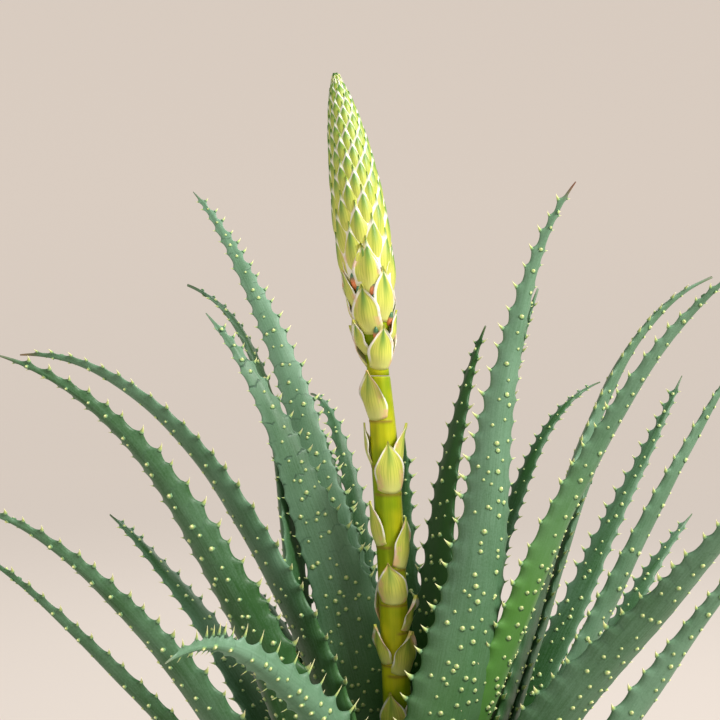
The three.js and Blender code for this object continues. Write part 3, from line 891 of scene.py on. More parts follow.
def scale_shape() -> Piece:
    """A closed scale of width and length one: X points outwards, its keel stands proud."""
    rows, columns = 10, 9
    along, across = bract_grid(rows, columns)
    half = 0.5 * np.maximum(bract_outline(along, widest=0.42, foot=0.66), 0.02)
    keel = 0.11 * (1 - np.abs(across)) ** 1.4 * smoothstep(along, 0, 0.5)
    bulge = 0.11 * np.sin(math.pi * along ** 0.8)
    wrap = 0.85 * (half * across) ** 2
    outer = np.stack([bulge + keel - wrap, half * across, along], axis=-1).reshape(-1, 3)
    inner = outer - np.array([0.07, 0, 0])
    rim = (1 - np.abs(across)) * half
    attributes = doubled(across=across, along=along, rim=rim)
    return new_object("scale_shape", np.concatenate([outer, inner]), shell_faces(rows, columns), attributes)


# Stem and flower


@dataclass(frozen=True)
class Stem:
    """The woody stem, thick at the lowest leaves and narrow at the growing tip."""

    profile: Profile = ((11.5, 92), (12.5, 132), (15, 152), (8.6, 224))
    rings: int = 110
    sides: int = 56
    inset: float = 0.5

    def radius(self, height: float) -> float:
        """The stem's radius at a height, both in millimetres."""
        return float(at_level(height, self.profile))

    def build(self, finishes: Finishes) -> None:
        """Makes the stem with the scars of old leaves.

        Args:
            finishes: The materials.
        """
        turn = around(self.sides)
        points = []
        for level in np.linspace(self.profile[0][1], self.profile[-1][1], self.rings):
            bands = 0.35 * abs(math.sin(level * 0.62)) ** 3
            lumps = 0.3 * np.sin(3 * turn + level * 0.19) + 0.2 * np.sin(7 * turn - level * 0.43)
            points.append(ring(self.radius(level) - self.inset - bands + lumps * 0.6, level, self.sides))
        stem = new_object("woody_stem", np.concatenate(points) * MM, tube_faces(self.rings, self.sides))
        stem.data.materials.append(finishes.bark)
        finish_piece(stem, Slot.BARK, "stem")


@dataclass(frozen=True)
class FlowerAxis:
    """The curved axis that the stalk and the spike share, in millimetres."""

    bottom: float = 224
    top: float = 505
    lean: float = 10
    bend: float = 16

    def at(self, height: Number) -> Array:
        """Points of the axis at one or many heights."""
        height = np.asarray(height, float)
        share = (height - self.bottom) / (self.top - self.bottom)
        aside = -(self.lean * share + self.bend * share ** 3)
        return np.stack([aside, np.zeros_like(height), height], axis=-1)

    def round_about(self, azimuth: Number, radius: Number, height: Number) -> Array:
        """Points at a distance from the axis."""
        azimuth, radius, height = np.broadcast_arrays(azimuth, radius, height)
        return direction(azimuth, 90) * radius[..., None] + self.at(height)

    def tube(self, bottom: float, top: float, rings: int, sides: int) -> tuple[Array, Array]:
        """Heights and azimuths for the rings of a tube round the axis."""
        return np.meshgrid(np.linspace(bottom, top, rings), np.arange(sides) * 360 / sides, indexing="ij")


AXIS = FlowerAxis()
BRACT_GRID = (18, 15)


@dataclass(frozen=True)
class Bract:
    """One bract, in millimetres and degrees.

    Flare is how far its point stands out beyond a closed bract's, and open how strongly
    its margins curl away from the axis.
    """

    base: float
    azimuth: float
    length: float
    width: float
    flare: float = 0.0
    open: float = 1.0

    def surface(self, radii: Radii, random: np.random.Generator) -> tuple[Array, dict[str, Array]]:
        """The bract's thin closed shell.

        Args:
            radii: Distances from the axis at its foot, its widest row and its point.
            random: Source of small irregularities.

        Returns:
            Its points, outer grid then inner grid, and their attributes.
        """
        foot, wide, point = radii
        along, across = bract_grid(*BRACT_GRID)
        widest = 0.4
        rising, falling = bract_shares(along, widest)
        uneven = 1 + 0.045 * np.sin(along * 11 + np.sign(across) * 1.3 + random.uniform(0, 6))
        half = 0.5 * self.width * np.maximum(bract_outline(along, widest, foot=0.86), 0.03) * uneven
        lower = lerp(foot, wide, np.sin(rising * math.pi / 2))
        radius = np.where(along < widest, lower, lerp(wide, point, falling ** 1.25))
        keel = 0.6 * (1 - np.abs(across)) ** 1.5 * smoothstep(along, 0.05, 0.5)
        ruffle = 0.35 * np.sin(along * 9 + random.uniform(0, 6)) * across ** 4 * smoothstep(along, 0.1, 0.5)
        curl = self.open * random.uniform(0.3, 1.2) * across ** 4 * smoothstep(along, 0.15, 0.6)
        radius = radius + keel + curl + ruffle
        turn = np.degrees(half * across / np.maximum(radius, 1.0)) + random.uniform(-13, 13) * along ** 2
        height = self.base + self.length * along + 0.07 * self.length * across ** 2 * (1 - along) ** 2
        thickness = 0.25 + 0.45 * (1 - across ** 2) * (1 - 0.7 * along)
        sheets = [
            AXIS.round_about(self.azimuth + turn, distance, height).reshape(-1, 3)
            for distance in (radius, radius - thickness)
        ]
        rim = (1 - np.abs(across)) * half / self.width
        wide = np.full(across.shape, self.width)
        return np.concatenate(sheets), doubled(across=across, along=along, rim=rim, wide=wide)


STALK_BRACTS = (
    Bract(240, 255, 19, 13, open=1.6), Bract(246, 340, 16, 12, flare=1.2), Bract(250, 90, 18, 13),
    Bract(265, 305, 18, 13, flare=0.8, open=1.8), Bract(269, 213, 16, 11, flare=0.4, open=1.5),
    Bract(282, 343, 15, 11, flare=2.2, open=1.5), Bract(284, 120, 18, 12), Bract(293, 272, 17, 14, open=0.7),
    Bract(307, 329, 21, 13, flare=0.6, open=1.2), Bract(309, 60, 18, 12), Bract(316, 206, 18, 12, open=0.8),
    Bract(337, 287, 21, 14, flare=0.5, open=1.2), Bract(346, 337, 19, 12, flare=2.0, open=1.4),
    Bract(348, 168, 17, 10, flare=-0.4, open=0.2), Bract(352, 90, 19, 11),
    Bract(366, 232, 20, 14, flare=0.4, open=2.6),
)

SPIKE_BRACTS = tuple(Bract(*sizes) for sizes in (
    (386, 288, 18, 12), (387, 150, 17, 11), (388, 45, 18, 11), (392, 212, 14, 9), (396, 345, 14, 9),
    (396, 100, 19, 12), (400, 252, 20, 13), (403, 165, 19, 12), (404, 35, 20, 12), (405, 312, 22, 12),
    (409, 200, 19, 12), (418, 180, 19, 12), (412, 75, 19, 11), (416, 270, 20, 12), (418, 125, 18, 11),
    (419, 350, 18, 11),
))


def bract_shells(
    name: str,
    bracts: Sequence[Bract],
    radii: Callable[[Bract], Radii],
    seed: int,
    green: float,
    margin: float,
) -> Piece:
    """Several bracts as one mesh.

    Args:
        name: Name of the object.
        bracts: The bracts.
        radii: A function from a bract to the distances of its foot, widest row and point.
        seed: Seed of the small irregularities.
        green: Strength of their green keels and points.
        margin: Width of their pale margins.

    Returns:
        The object, without a material.
    """
    random = np.random.default_rng(seed)
    shells = [bract.surface(radii(bract), random) for bract in bracts]
    size = len(shells[0][0])
    faces = [
        [number * size + corner for corner in face]
        for number in range(len(shells)) for face in shell_faces(*BRACT_GRID)
    ]
    points = np.concatenate([shell for shell, _ in shells])
    values = {key: np.concatenate([attributes[key] for _, attributes in shells]) for key in shells[0][1]}
    values |= {"green": np.full(len(points), green), "margin": np.full(len(points), margin)}
    return new_object(name, points * MM, faces, values)


@dataclass(frozen=True)
class FlowerStalk:
    """The stalk with its sheathing bracts, in millimetres."""

    profile: Profile = ((5.7, 224.3), (5.7, 300), (5.7, 352), (4.6, 383.5))
    fibre_length: float = 160
    rings: int = 260
    sides: int = 36

    def scars(self, azimuth: Array, height: Array) -> Array:
        """How strongly points lie on the line under a bract.

        Args:
            azimuth: Degrees.
            height: Millimetres.

        Returns:
            Values from 0 to 1.
        """
        found = np.zeros_like(height)
        for bract in STALK_BRACTS:
            turn = np.abs((azimuth - bract.azimuth + 180) % 360 - 180)
            width = np.degrees(0.5 * bract.width / at_level(bract.base, self.profile))
            line = np.exp(-((height - bract.base + 0.4) / 0.55) ** 2)
            found = np.maximum(found, line * (1 - smoothstep(turn, width, width * 1.25)))
        return found

    def build(self, finishes: Finishes) -> None:
        """Makes the stalk with its bracts.

        Args:
            finishes: The materials.
        """
        bottom, top = self.profile[0][1], self.profile[-1][1]
        height, azimuth = AXIS.tube(bottom, top, self.rings, self.sides)
        scar = self.scars(azimuth, height)
        ribs = 0.12 * np.sin(np.radians(azimuth) * 9 + height * 0.02)
        radius = at_level(height, self.profile) - 0.1 + ribs + 0.25 * scar
        points = AXIS.round_about(azimuth, radius, height).reshape(-1, 3)
        stalk = new_object("stalk_axis", points * MM, tube_faces(self.rings, self.sides), {
            "scar": scar.ravel(),
            "across": (azimuth / 180 - 1).ravel(),
            "along": ((height - bottom) / self.fibre_length).ravel(),
        })
        stalk.data.materials.append(finishes.stalk)
        bracts = bract_shells("stalk_bracts", STALK_BRACTS, self.bract_radii, seed=5, green=0.5, margin=0.75)
        bracts.data.materials.append(finishes.bract)
        finish_piece(joined("bracted_stalk", [stalk, bracts]), Slot.STALK, "flower_stalk")

    def bract_radii(self, bract: Bract) -> Radii:
        """Distances of a sheathing bract's foot, widest row and point from the axis."""
        radius = float(at_level(bract.base, self.profile))
        return radius + 0.2, radius + 1.7, radius + 1.7 + bract.flare


@dataclass(frozen=True)
class FlowerSpike:
    """The closed spike: plump bracts at the foot, closed scales above, in millimetres.

    Outline gives its radius, and widths the width of the closed scales. The insets say how
    far the core, a scale's foot and a scale's tip lie inside the outline. Slimness is a
    scale's length for its width, and packing the share of its area that it takes up.
    """

    outline: Profile = (
        (6, 384), (7.5, 392), (9.2, 403), (10, 415), (10.6, 433), (10.6, 449),
        (10.1, 459), (9, 471), (8.1, 479), (6.5, 488), (4.4, 497), (2.6, 502), (1.2, 505),
    )
    widths: Profile = (
        (12.8, 413), (12.2, 430), (10.9, 441), (9.3, 452), (8.2, 464), (7.2, 480), (6.2, 492), (4.7, 500),
        (3.8, 503),
    )
    neck: float = 4.4
    bract_zone: float = 428
    core_inset: float = 1.7
    foot_inset: float = 2.7
    first_scale: float = 413
    last_scale: float = 503.2
    scale_inset: float = 2.2
    tip_inset: float = 0.95
    slimness: float = 1.85
    packing: float = 0.48

    def radius(self, height: Number) -> Array:
        """The spike's outer radius at a height."""
        return at_level(height, self.outline)

    def core(self, finishes: Finishes) -> Piece:
        """The axis under the scales, narrower inside the plump bracts.

        Args:
            finishes: The materials.

        Returns:
            The object.
        """
        rings, sides = 60, 24
        height, azimuth = AXIS.tube(383.8, 503.5, rings, sides)
        inset = np.where(height < self.bract_zone, self.foot_inset, self.core_inset)
        least = np.where(height < self.bract_zone, self.neck, 0.6)
        points = AXIS.round_about(azimuth, np.maximum(self.radius(height) - inset, least), height)
        core = new_object("spike_core", points.reshape(-1, 3) * MM, tube_faces(rings, sides))
        core.data.materials.append(finishes.stalk)
        return core

    def scale_rows(self) -> tuple[Array, Array]:
        """Heights and azimuths of the closed scales, up the spike by the area each covers."""
        levels = [self.first_scale]
        while levels[-1] < self.last_scale:
            area = self.packing * float(at_level(levels[-1], self.widths)) ** 2
            levels.append(levels[-1] + area / (math.tau * float(self.radius(levels[-1]))))
        return np.array(levels), np.arange(len(levels)) * GOLDEN_ANGLE

    def covered(
        self, name: str, sites: Sites, shape: Piece, tree: Tree, skin: Material, **values: Array
    ) -> Piece:
        """Copies of a shape on sites.

        Args:
            name: Name of the result.
            sites: Where the copies stand.
            shape: The shape, which is used up.
            tree: The tree that copies a shape on points.
            skin: The copies' material.
            values: More attributes of the sites, by name.

        Returns:
            The copies as one object.
        """
        source = new_object(f"{name}_sites", sites.foot * MM, [], sites.vectors() | values)
        inputs = {"Shape": shape, "Length": 1.0, "Width": 1.0, "Skin": skin}
        copies = grown(source, tree, inputs, name)
        bpy.data.objects.remove(shape)
        return copies

    def scales(self, finishes: Finishes, tree: Tree) -> Piece:
        """The closed scales on a golden-angle spiral.

        Args:
            finishes: The materials.
            tree: The tree that copies a shape on points.

        Returns:
            The object.
        """
        height, azimuth = self.scale_rows()
        width = at_level(height, self.widths)
        top = np.minimum(height + width * self.slimness, AXIS.top - 0.3)
        sites = self.standing(azimuth, height, top, self.scale_inset, self.tip_inset, width)
        return self.covered(
            "scales", sites, scale_shape(), tree, finishes.bract,
            young=smoothstep(height, 430, 478), wide=width, green=np.full(len(height), 0.85),
            margin=(0.5 + 0.13 * width) * (1 - smoothstep(height, 484, 500)),
        )

    def buds(self, finishes: Finishes, tree: Tree) -> Piece:
        """Buds that show beside the plump bracts, behind their points and under some scales.

        Args:
            finishes: The materials.
            tree: The tree that copies a shape on points.

        Returns:
            The object.
        """
        random = np.random.default_rng(21)
        count = len(SPIKE_BRACTS)
        side = np.where(np.arange(count) % 2 == 0, 1, -1)
        beside = side * random.uniform(24, 36, count)
        rows = [(bract.azimuth, bract.base, bract.length) for bract in SPIKE_BRACTS]
        azimuth, base, length = np.array(rows).T
        low = base + 0.42 * length
        plump = self.standing(azimuth + beside, low, low + random.uniform(8, 10, count), 3.4, 1.9, 4.2)
        peeks = self.standing(azimuth - 13, base + length - 6.5, base + length - 0.6, 3.0, 0.7, 2.5)
        height, turn = self.scale_rows()
        chosen = (height > 418) & (height < 446) & (np.arange(len(height)) % 4 == 0)
        level = height[chosen] + self.slimness * at_level(height[chosen], self.widths)
        tips = self.standing(turn[chosen] - 11, level - 6, level - 0.9, 2.6, 0.5, 2.3)
        return self.covered("buds", merged((plump, peeks, tips)), bud_shape(), tree, finishes.bud)

    def standing(
        self, azimuth: Array, low: Array, high: Array, inset: float, tip_inset: float, girth: Number
    ) -> Sites:
        """Where scales or buds stand inside the spike's outline.

        Args:
            azimuth: Their azimuths.
            low: Heights of their feet.
            high: Heights of their points.
            inset: How far the feet lie inside the outline.
            tip_inset: How far the points lie inside it.
            girth: Their width.

        Returns:
            The sites.
        """
        foot = AXIS.round_about(azimuth, np.maximum(self.radius(low) - inset, 0.4), low)
        tip = AXIS.round_about(azimuth, np.maximum(self.radius(high) - tip_inset, 0.25), high)
        length = np.linalg.norm(tip - foot, axis=-1)
        across = np.broadcast_to(girth, length.shape)
        size = np.stack([across, across, length], axis=-1)
        return Sites(foot, unit(tip - foot), direction(azimuth, 90), size)

    def bract_radii(self, bract: Bract) -> Radii:
        """Distances of a plump bract's foot, widest row and point from the axis."""
        foot = max(self.neck, float(self.radius(bract.base)) - self.foot_inset) + 0.2
        wide = float(self.radius(bract.base + 0.42 * bract.length)) - 0.4
        return foot, wide, float(self.radius(bract.base + bract.length)) - 0.1

    def build(self, finishes: Finishes, tree: Tree) -> None:
        """Makes the spike.

        Args:
            finishes: The materials.
            tree: The tree that copies a shape on points.
        """
        plump = bract_shells("plump_bracts", SPIKE_BRACTS, self.bract_radii, seed=9, green=0.8, margin=1.1)
        plump.data.materials.append(finishes.bract)
        parts = [self.core(finishes), plump, self.scales(finishes, tree), self.buds(finishes, tree)]
        finish_piece(joined("closed_spike", parts), Slot.SPIKE, "flower_spike")


# Leaves


@dataclass(frozen=True)
class Leaf:
    """One leaf as the CAD places it, in millimetres and degrees, with its own looks.

    Azimuths count from +X towards +Y. Root is the height at which the leaf leaves the
    stem, lean and droop are its angles from upright at the root and at the tip, reach
    and height place the tip, and sweep turns the tip away from the root's azimuth. Tone
    goes from deep green to grey-green, and blush browns the tip. Taper is the power of the
    width towards the tip, less for a blunter leaf. Twist turns the blade about its own
    length, creased is the depth of its creases and of the painted shade in them, and armed
    a factor on its teeth. Painted_foot_light spreads the fresh green of its foot as painted
    light, hook bends its last tenth outwards, in millimetres, and bristled crowds the teeth
    behind its tip.
    """

    root: float
    azimuth: float
    lean: float
    sweep: float
    reach: float
    height: float
    droop: float
    width: float
    tone: float = 0.55
    twist: float = 0
    taper: float = 1.2
    creased: float = 0.12
    blush: float = 0.15
    armed: float = 1
    painted_foot_light: float = 0
    hook: float = 0
    bristled: float = 0


LEAVES = (
    Leaf(219, 190, 8, 0, 16, 244, 12, 12, tone=0.3),
    Leaf(216, 98, 17, 76, 78, 411, 37, 33, tone=0.8, twist=46, taper=1.25, creased=1, hook=3.5),
    Leaf(213, 286, 29, 58, 70, 459, 37, 31, tone=0.6, twist=40, taper=1.35, blush=1),
    Leaf(210, 42, 8, 0, 51, 405, 32, 26, tone=0.03),
    Leaf(206, 196, 15, -12, 150, 392, 96, 27, tone=0.4, twist=-34, blush=0.7),
    Leaf(204, 350, 24, -8, 132, 425, 54, 26, tone=0.56, twist=38, taper=1.25, painted_foot_light=1),
    Leaf(201, 26, 15, 14, 82, 422, 28, 24, tone=0.45, twist=8),
    Leaf(199, 94, 19, 44, 127, 469, 51, 24, tone=0.8, twist=26, taper=1.15, creased=0.5),
    Leaf(
        197, 254, 32, -18, 137, 296, 112, 20,
        tone=0.58, twist=-62, taper=1.15, creased=0.3, blush=0.3, armed=1.3, bristled=0.7,
    ),
    Leaf(193, 14, 34, -4, 134, 425, 71, 27, tone=0.5, twist=26, blush=0.3),
    Leaf(191, 98, 28, 24, 78, 369, 52, 26, tone=0.12, twist=14),
    Leaf(189, 272, 52, 4, 140, 258, 80, 30, tone=0.7),
    Leaf(187, 308, 37, 16, 158, 360, 41, 36, tone=0.44, twist=34, creased=0.3, blush=0.3),
    Leaf(185, 165, 32, -4, 95, 422, 72, 22, tone=0.42, twist=16),
    Leaf(184, 68, 30, 18, 52, 356, 6, 20, tone=0.3, twist=6),
    Leaf(182, 224, 28, -18, 158, 392, 76, 30, tone=0.2, twist=-40, taper=1.3, creased=0.3, blush=0.25),
    Leaf(180, 356, 37, -4, 134, 394, 34, 26, tone=0.5, twist=30),
    Leaf(178, 82, 37, 32, 97, 374, 92, 18, tone=0.5, twist=10),
    Leaf(176, 212, 44, -10, 169, 340, 76, 30, tone=0.3, twist=-40, taper=1.5, creased=0.25),
    Leaf(174, 48, 20, -10, 120, 380, 79, 16, tone=0.35, twist=-16),
    Leaf(172, 292, 60, -4, 165, 232, 86, 30, tone=0.65, twist=12),
    Leaf(170, 150, 37, 0, 152, 319, 61, 26, tone=0.4, twist=14),
    Leaf(168, 22, 27, -6, 95, 367, 28, 26, tone=0.45, twist=10),
    Leaf(166, 328, 50, 8, 148, 333, 47, 31, tone=0.55, twist=30),
    Leaf(164, 190, 44, -2, 166, 319, 54, 26, tone=0.24, twist=-38, taper=1.6),
    Leaf(162, 120, 30, 18, 95, 292, 72, 24, tone=0.45),
    Leaf(160, 40, 34, -6, 165, 383, 34, 20, tone=0.5, twist=-28),
    Leaf(159, 262, 62, 0, 160, 236, 84, 30, tone=0.65, twist=-8),
    Leaf(158, 80, 50, 0, 145, 296, 68, 24, tone=0.5, twist=6),
    Leaf(157, 228, 60, 0, 172, 230, 82, 29, tone=0.6, twist=-14),
    Leaf(156, 2, 54, 0, 168, 258, 76, 27, tone=0.55, twist=16),
    Leaf(155, 105, 56, 0, 158, 258, 80, 26, tone=0.55, twist=-10),
    Leaf(154, 310, 62, 0, 166, 208, 90, 29, tone=0.6, twist=12),
    Leaf(153, 44, 52, -10, 172, 317, 52, 25, tone=0.5, twist=-24),
)


@dataclass(frozen=True)
class LeafForm:
    """The rules that every leaf follows, in millimetres, degrees and shares."""

    root_reach: float = 0.37
    tip_reach: float = 0.27
    early_turn: float = 0.7
    root_inset: float = 1.5
    root_width: float = 0.72
    shoulder: float = 0.18
    taper: float = 1.25
    tip_radius: float = 0.95
    rows: int = 236
    columns: int = 26
    last_row: float = 0.998
    full_width: float = 20
    tooth_spacing: float = 10.5
    tooth_length: float = 3.9
    tooth_girth: float = 1.05
    bristle_girth: float = 0.45
    bristle_length: float = 5.4
    bristle_place: float = 0.87
    tooth_mound: float = 2.8
    hidden_tooth: float = 0.5
    hiding_turn: float = 30
    first_tooth: float = 0.05
    last_tooth: float = 0.975
    prickle_spacing: float = 6.0
    prickle_height: float = 1.0
    prickle_girth: float = 0.92
    back_prickles: tuple[float, float] = (0.08, 0.96)
    front_prickles: tuple[float, float] = (0.12, 0.97)


FORM = LeafForm()


class LeafSurface:
    """The fine surface of one leaf, as positions at a share of its length and width."""

    def __init__(self, leaf: Leaf, stem: Stem, seed: int) -> None:
        """Works out the spine, the teeth and the waves of the blade.

        Args:
            leaf: The leaf.
            stem: The stem it grows from.
            seed: Seed of its irregularities.
        """
        self.leaf = leaf
        self.random = np.random.default_rng(1000 + seed)
        turn = leaf.azimuth + leaf.sweep
        root = direction(leaf.azimuth, 90) * (stem.radius(leaf.root) - FORM.root_inset)
        root[2] = leaf.root
        tip = direction(turn, 90) * leaf.reach
        tip[2] = leaf.height
        span = np.linalg.norm(tip - root)
        early = leaf.azimuth + FORM.early_turn * leaf.sweep
        bends = np.array([
            root,
            root + direction(early, leaf.lean) * FORM.root_reach * span,
            tip - direction(turn, leaf.droop) * FORM.tip_reach * span,
            tip,
        ])
        t = np.linspace(0, 1, 600)[:, None]
        weights = np.concatenate([(1 - t) ** 3, 3 * t * (1 - t) ** 2, 3 * t ** 2 * (1 - t), t ** 3], axis=1)
        self.line = weights @ bends
        steps = np.linalg.norm(np.diff(self.line, axis=0), axis=1)
        reached = np.concatenate([[0], np.cumsum(steps)])
        self.length = float(reached[-1])
        self.shares = reached / self.length
        self.tangents = unit(np.gradient(self.line, axis=0))
        self.small = min(1.0, leaf.width / FORM.full_width)
        self.teeth = {sign: self.tooth_shares(sign) for sign in (1, -1)}
        self.waves = self.random.uniform(0, math.tau, 4)
        self.twist = leaf.twist + self.random.uniform(-5, 5)

    def tooth_shares(self, sign: int) -> Array:
        """Where one margin's teeth stand, with shorter ones on a margin that turns down.

        Args:
            sign: 1 for the left margin and -1 for the right.

        Returns:
            Rows of share of the length, size and spacing.
        """
        rows = []
        down = min(1.0, max(0.0, sign * self.leaf.twist / FORM.hiding_turn))
        guard = self.leaf.armed * self.small * lerp(1, FORM.hidden_tooth, down)
        place = FORM.first_tooth * self.length + self.random.uniform(0, FORM.tooth_spacing)
        while place < FORM.last_tooth * self.length:
            share = place / self.length
            uneven = self.random.uniform(0.78, 1.22)
            spacing = FORM.tooth_spacing * self.small * lerp(1.08, 0.62, share) * uneven
            spacing *= 1 - self.leaf.bristled * math.exp(-((share - FORM.bristle_place) / 0.05) ** 2)
            size = guard * lerp(1.1, 0.62, share) * self.random.uniform(0.82, 1.15)
            rows.append((share, size * (0.55 + 0.45 * float(smoothstep(share, 0.02, 0.14))), spacing))
            place += spacing
        return np.array(rows)

    def mound(self, share: Array, sign: int) -> Array:
        """How far a margin swells out under its teeth.

        Args:
            share: Shares of the length.
            sign: 1 for the left margin and -1 for the right.

        Returns:
            Millimetres.
        """
        swell = np.zeros_like(share)
        for at, size, spacing in self.teeth[sign]:
            away = (share - at) * self.length
            reach = np.where(away < 0, 0.72 * spacing, 0.38 * spacing)
            swell = np.maximum(swell, size * FORM.tooth_mound * np.clip(1 - np.abs(away) / reach, 0, 1) ** 2)
        return swell

    def half_width(self, share: Array) -> Array:
        """Half the leaf's width without its teeth, rounded off at the tip.

        Args:
            share: Shares of the length.

        Returns:
            Millimetres.
        """
        rising = lerp(FORM.root_width, 1, smoothstep(share, 0, FORM.shoulder))
        over = 1 - FORM.taper * (1 - share)
        taper = 1 - 0.5 * (over + np.sqrt(over ** 2 + 0.05 ** 2))
        tip = smoothstep(share, 0.35, 0.85) * np.sqrt(np.clip(1 - share ** 10, 0, 1))
        width = self.leaf.width * rising * np.clip(taper, 0, 1) ** self.leaf.taper
        return 0.5 * width + FORM.tip_radius * self.small * tip

    def frame_at(self, share: Array) -> tuple[Array, Array, Array, Array]:
        """The spine's points and the directions along, to the left margin and outwards.

        Args:
            share: Shares of the length.

        Returns:
            Four arrays whose last axis is x, y, z.
        """
        centre, along = (
            np.stack([np.interp(share, self.shares, column) for column in table.T], axis=-1)
            for table in (self.line, self.tangents)
        )
        along = unit(along)
        side = direction(self.leaf.azimuth + self.leaf.sweep * share + 90, np.full_like(share, 90.0))
        side = unit(side - along * np.sum(side * along, axis=-1, keepdims=True))
        out = np.cross(side, along)
        twist = np.radians(self.twist * smoothstep(share, -0.1, 0.7))[..., None]
        side, out = side * np.cos(twist) + out * np.sin(twist), out * np.cos(twist) - side * np.sin(twist)
        sway = 0.5 * self.small * np.sin(share * 17 + self.waves[0]) * share * (1.05 - share) * 4
        hook = self.leaf.hook * smoothstep(share, 0.88, 1.02)
        return centre + side * sway[..., None] + out * hook[..., None], along, side, out

    def place(self, share: Array, across: Array, outer: Array) -> Array:
        """Points of the surface.

        Args:
            share: Shares of the length.
            across: From -1 at the right margin to 1 at the left one.
            outer: True on the outer face.

        Returns:
            Points, in millimetres.
        """
        centre, _, side, out = self.frame_at(share)
        half = self.half_width(share)
        edge = np.abs(across)
        swell = np.where(across > 0, self.mound(share, 1), self.mound(share, -1))
        ripple = 0.22 * self.small * np.sin(share * self.length / 5.5 + self.waves[1] + across * 2)
        crown = (half * (0.5 + 0.2 * share) + 0.35) * 1.08
        ridge = 1 - np.sqrt(edge ** 2 + 0.12 ** 2)
        arch = 0.74 * np.clip(1 - edge ** 2.4, 0, 1) ** 0.55 + 0.26 * np.clip(ridge, 0, 1)
        back = (crown + ripple * 0.5) * arch
        rim = np.minimum(1.15 * self.small, half * 0.5)
        hollow = half * (0.45 * share - 0.08) + 0.25
        front = rim * np.sqrt(np.clip(1 - edge ** 2, 0, 1)) + (hollow + ripple - rim) * (1 - edge ** 2) ** 1.5
        depth = np.where(outer, back, -front)
        width = half * across + np.sign(across) * swell * edge ** 11
        return centre + side * width[..., None] + out * depth[..., None]

    def normal(self, share: Array, across: Array, outer: Array) -> Array:
        """Unit normals of the surface, away from the leaf."""
        step = 0.004
        here = self.place(share, across, outer)
        up = self.place(share + step, across, outer) - here
        left = self.place(share, across + step * 4, outer) - here
        normal = unit(np.cross(left, up))
        return np.where(outer[..., None], normal, -normal)

    def blade(self) -> tuple[Array, Faces, dict[str, Array]]:
        """The closed blade: its points, faces and attributes."""
        rows = np.clip(1 - (1 - np.linspace(0, 1, FORM.rows)) ** 1.12, 0, FORM.last_row)
        share, turn = np.meshgrid(rows, around(FORM.columns), indexing="ij")
        across = np.cos(turn)
        outer = np.sin(turn) >= 0
        points = self.place(share, across, outer).reshape(-1, 3)
        return points, tube_faces(FORM.rows, FORM.columns), {
            "share": share.ravel(),
            "across_mm": (across * self.half_width(share) + np.where(outer, 60.0, 0.0)).ravel(),
            "along_mm": (share * self.length).ravel(),
            # inside: partly the inner face's deeper green, partly painted shade in its hollow.
            "inside": np.where(outer, 0.0, 1.0 - np.abs(across) ** 4).ravel(),
        }

    def tooth_sites(self) -> Sites:
        """Where the teeth stand on the swollen margins.

        Returns:
            The sites.
        """
        margins = []
        for sign, rows in self.teeth.items():
            share, size = rows[:, 0], rows[:, 1]
            _, along, side, _ = self.frame_at(share)
            foot = self.place(share, np.full_like(share, float(sign)), np.ones_like(share, bool))
            axis = unit(side * sign * 0.9 + along * 0.3)
            girth = size * lerp(FORM.tooth_girth, FORM.bristle_girth, self.leaf.bristled)
            height = size * lerp(FORM.tooth_length, FORM.bristle_length, self.leaf.bristled)
            sizes = np.stack([girth, girth * 0.8, height], axis=-1)
            margins.append(Sites(foot - axis * (0.5 * size)[:, None], axis, along, sizes))
        return merged(margins)

    def prickle_sites(self) -> Sites:
        """Where the prickles stand: loose rows across either face, one to five in a row.

        Returns:
            The sites.
        """
        found = []
        for outer, (start, ending) in ((True, FORM.back_prickles), (False, FORM.front_prickles)):
            place = start * self.length
            while place < ending * self.length:
                share = place / self.length
                room = 1.5 * float(self.half_width(np.array([share]))[0]) / FORM.prickle_spacing
                count = max(1, int(room * self.random.uniform(0.7, 1.5) + 0.5))
                middle = self.random.uniform(-0.35, 0.35)
                for i in range(count):
                    step = (i - 0.5 * (count - 1)) * 1.5 / max(count, 2)
                    across = middle + step + self.random.uniform(-0.13, 0.13)
                    if abs(across) < 0.8:
                        found.append((share + self.random.uniform(-2.2, 2.2) / self.length, across, outer))
                place += FORM.prickle_spacing * lerp(0.7, 1.3, share) * self.random.uniform(0.7, 1.35)
        share, across, outer = np.array(found).T
        outer = outer > 0
        foot = self.place(share, across, outer)
        axis = self.normal(share, across, outer)
        _, along, _, _ = self.frame_at(share)
        size = self.small * lerp(1, 0.78, share) * self.random.uniform(0.6, 1.1, len(share))
        girth = size * FORM.prickle_girth
        sizes = np.stack([girth, girth, size * FORM.prickle_height], axis=-1)
        return Sites(foot, unit(axis + 0.25 * along), along, sizes)


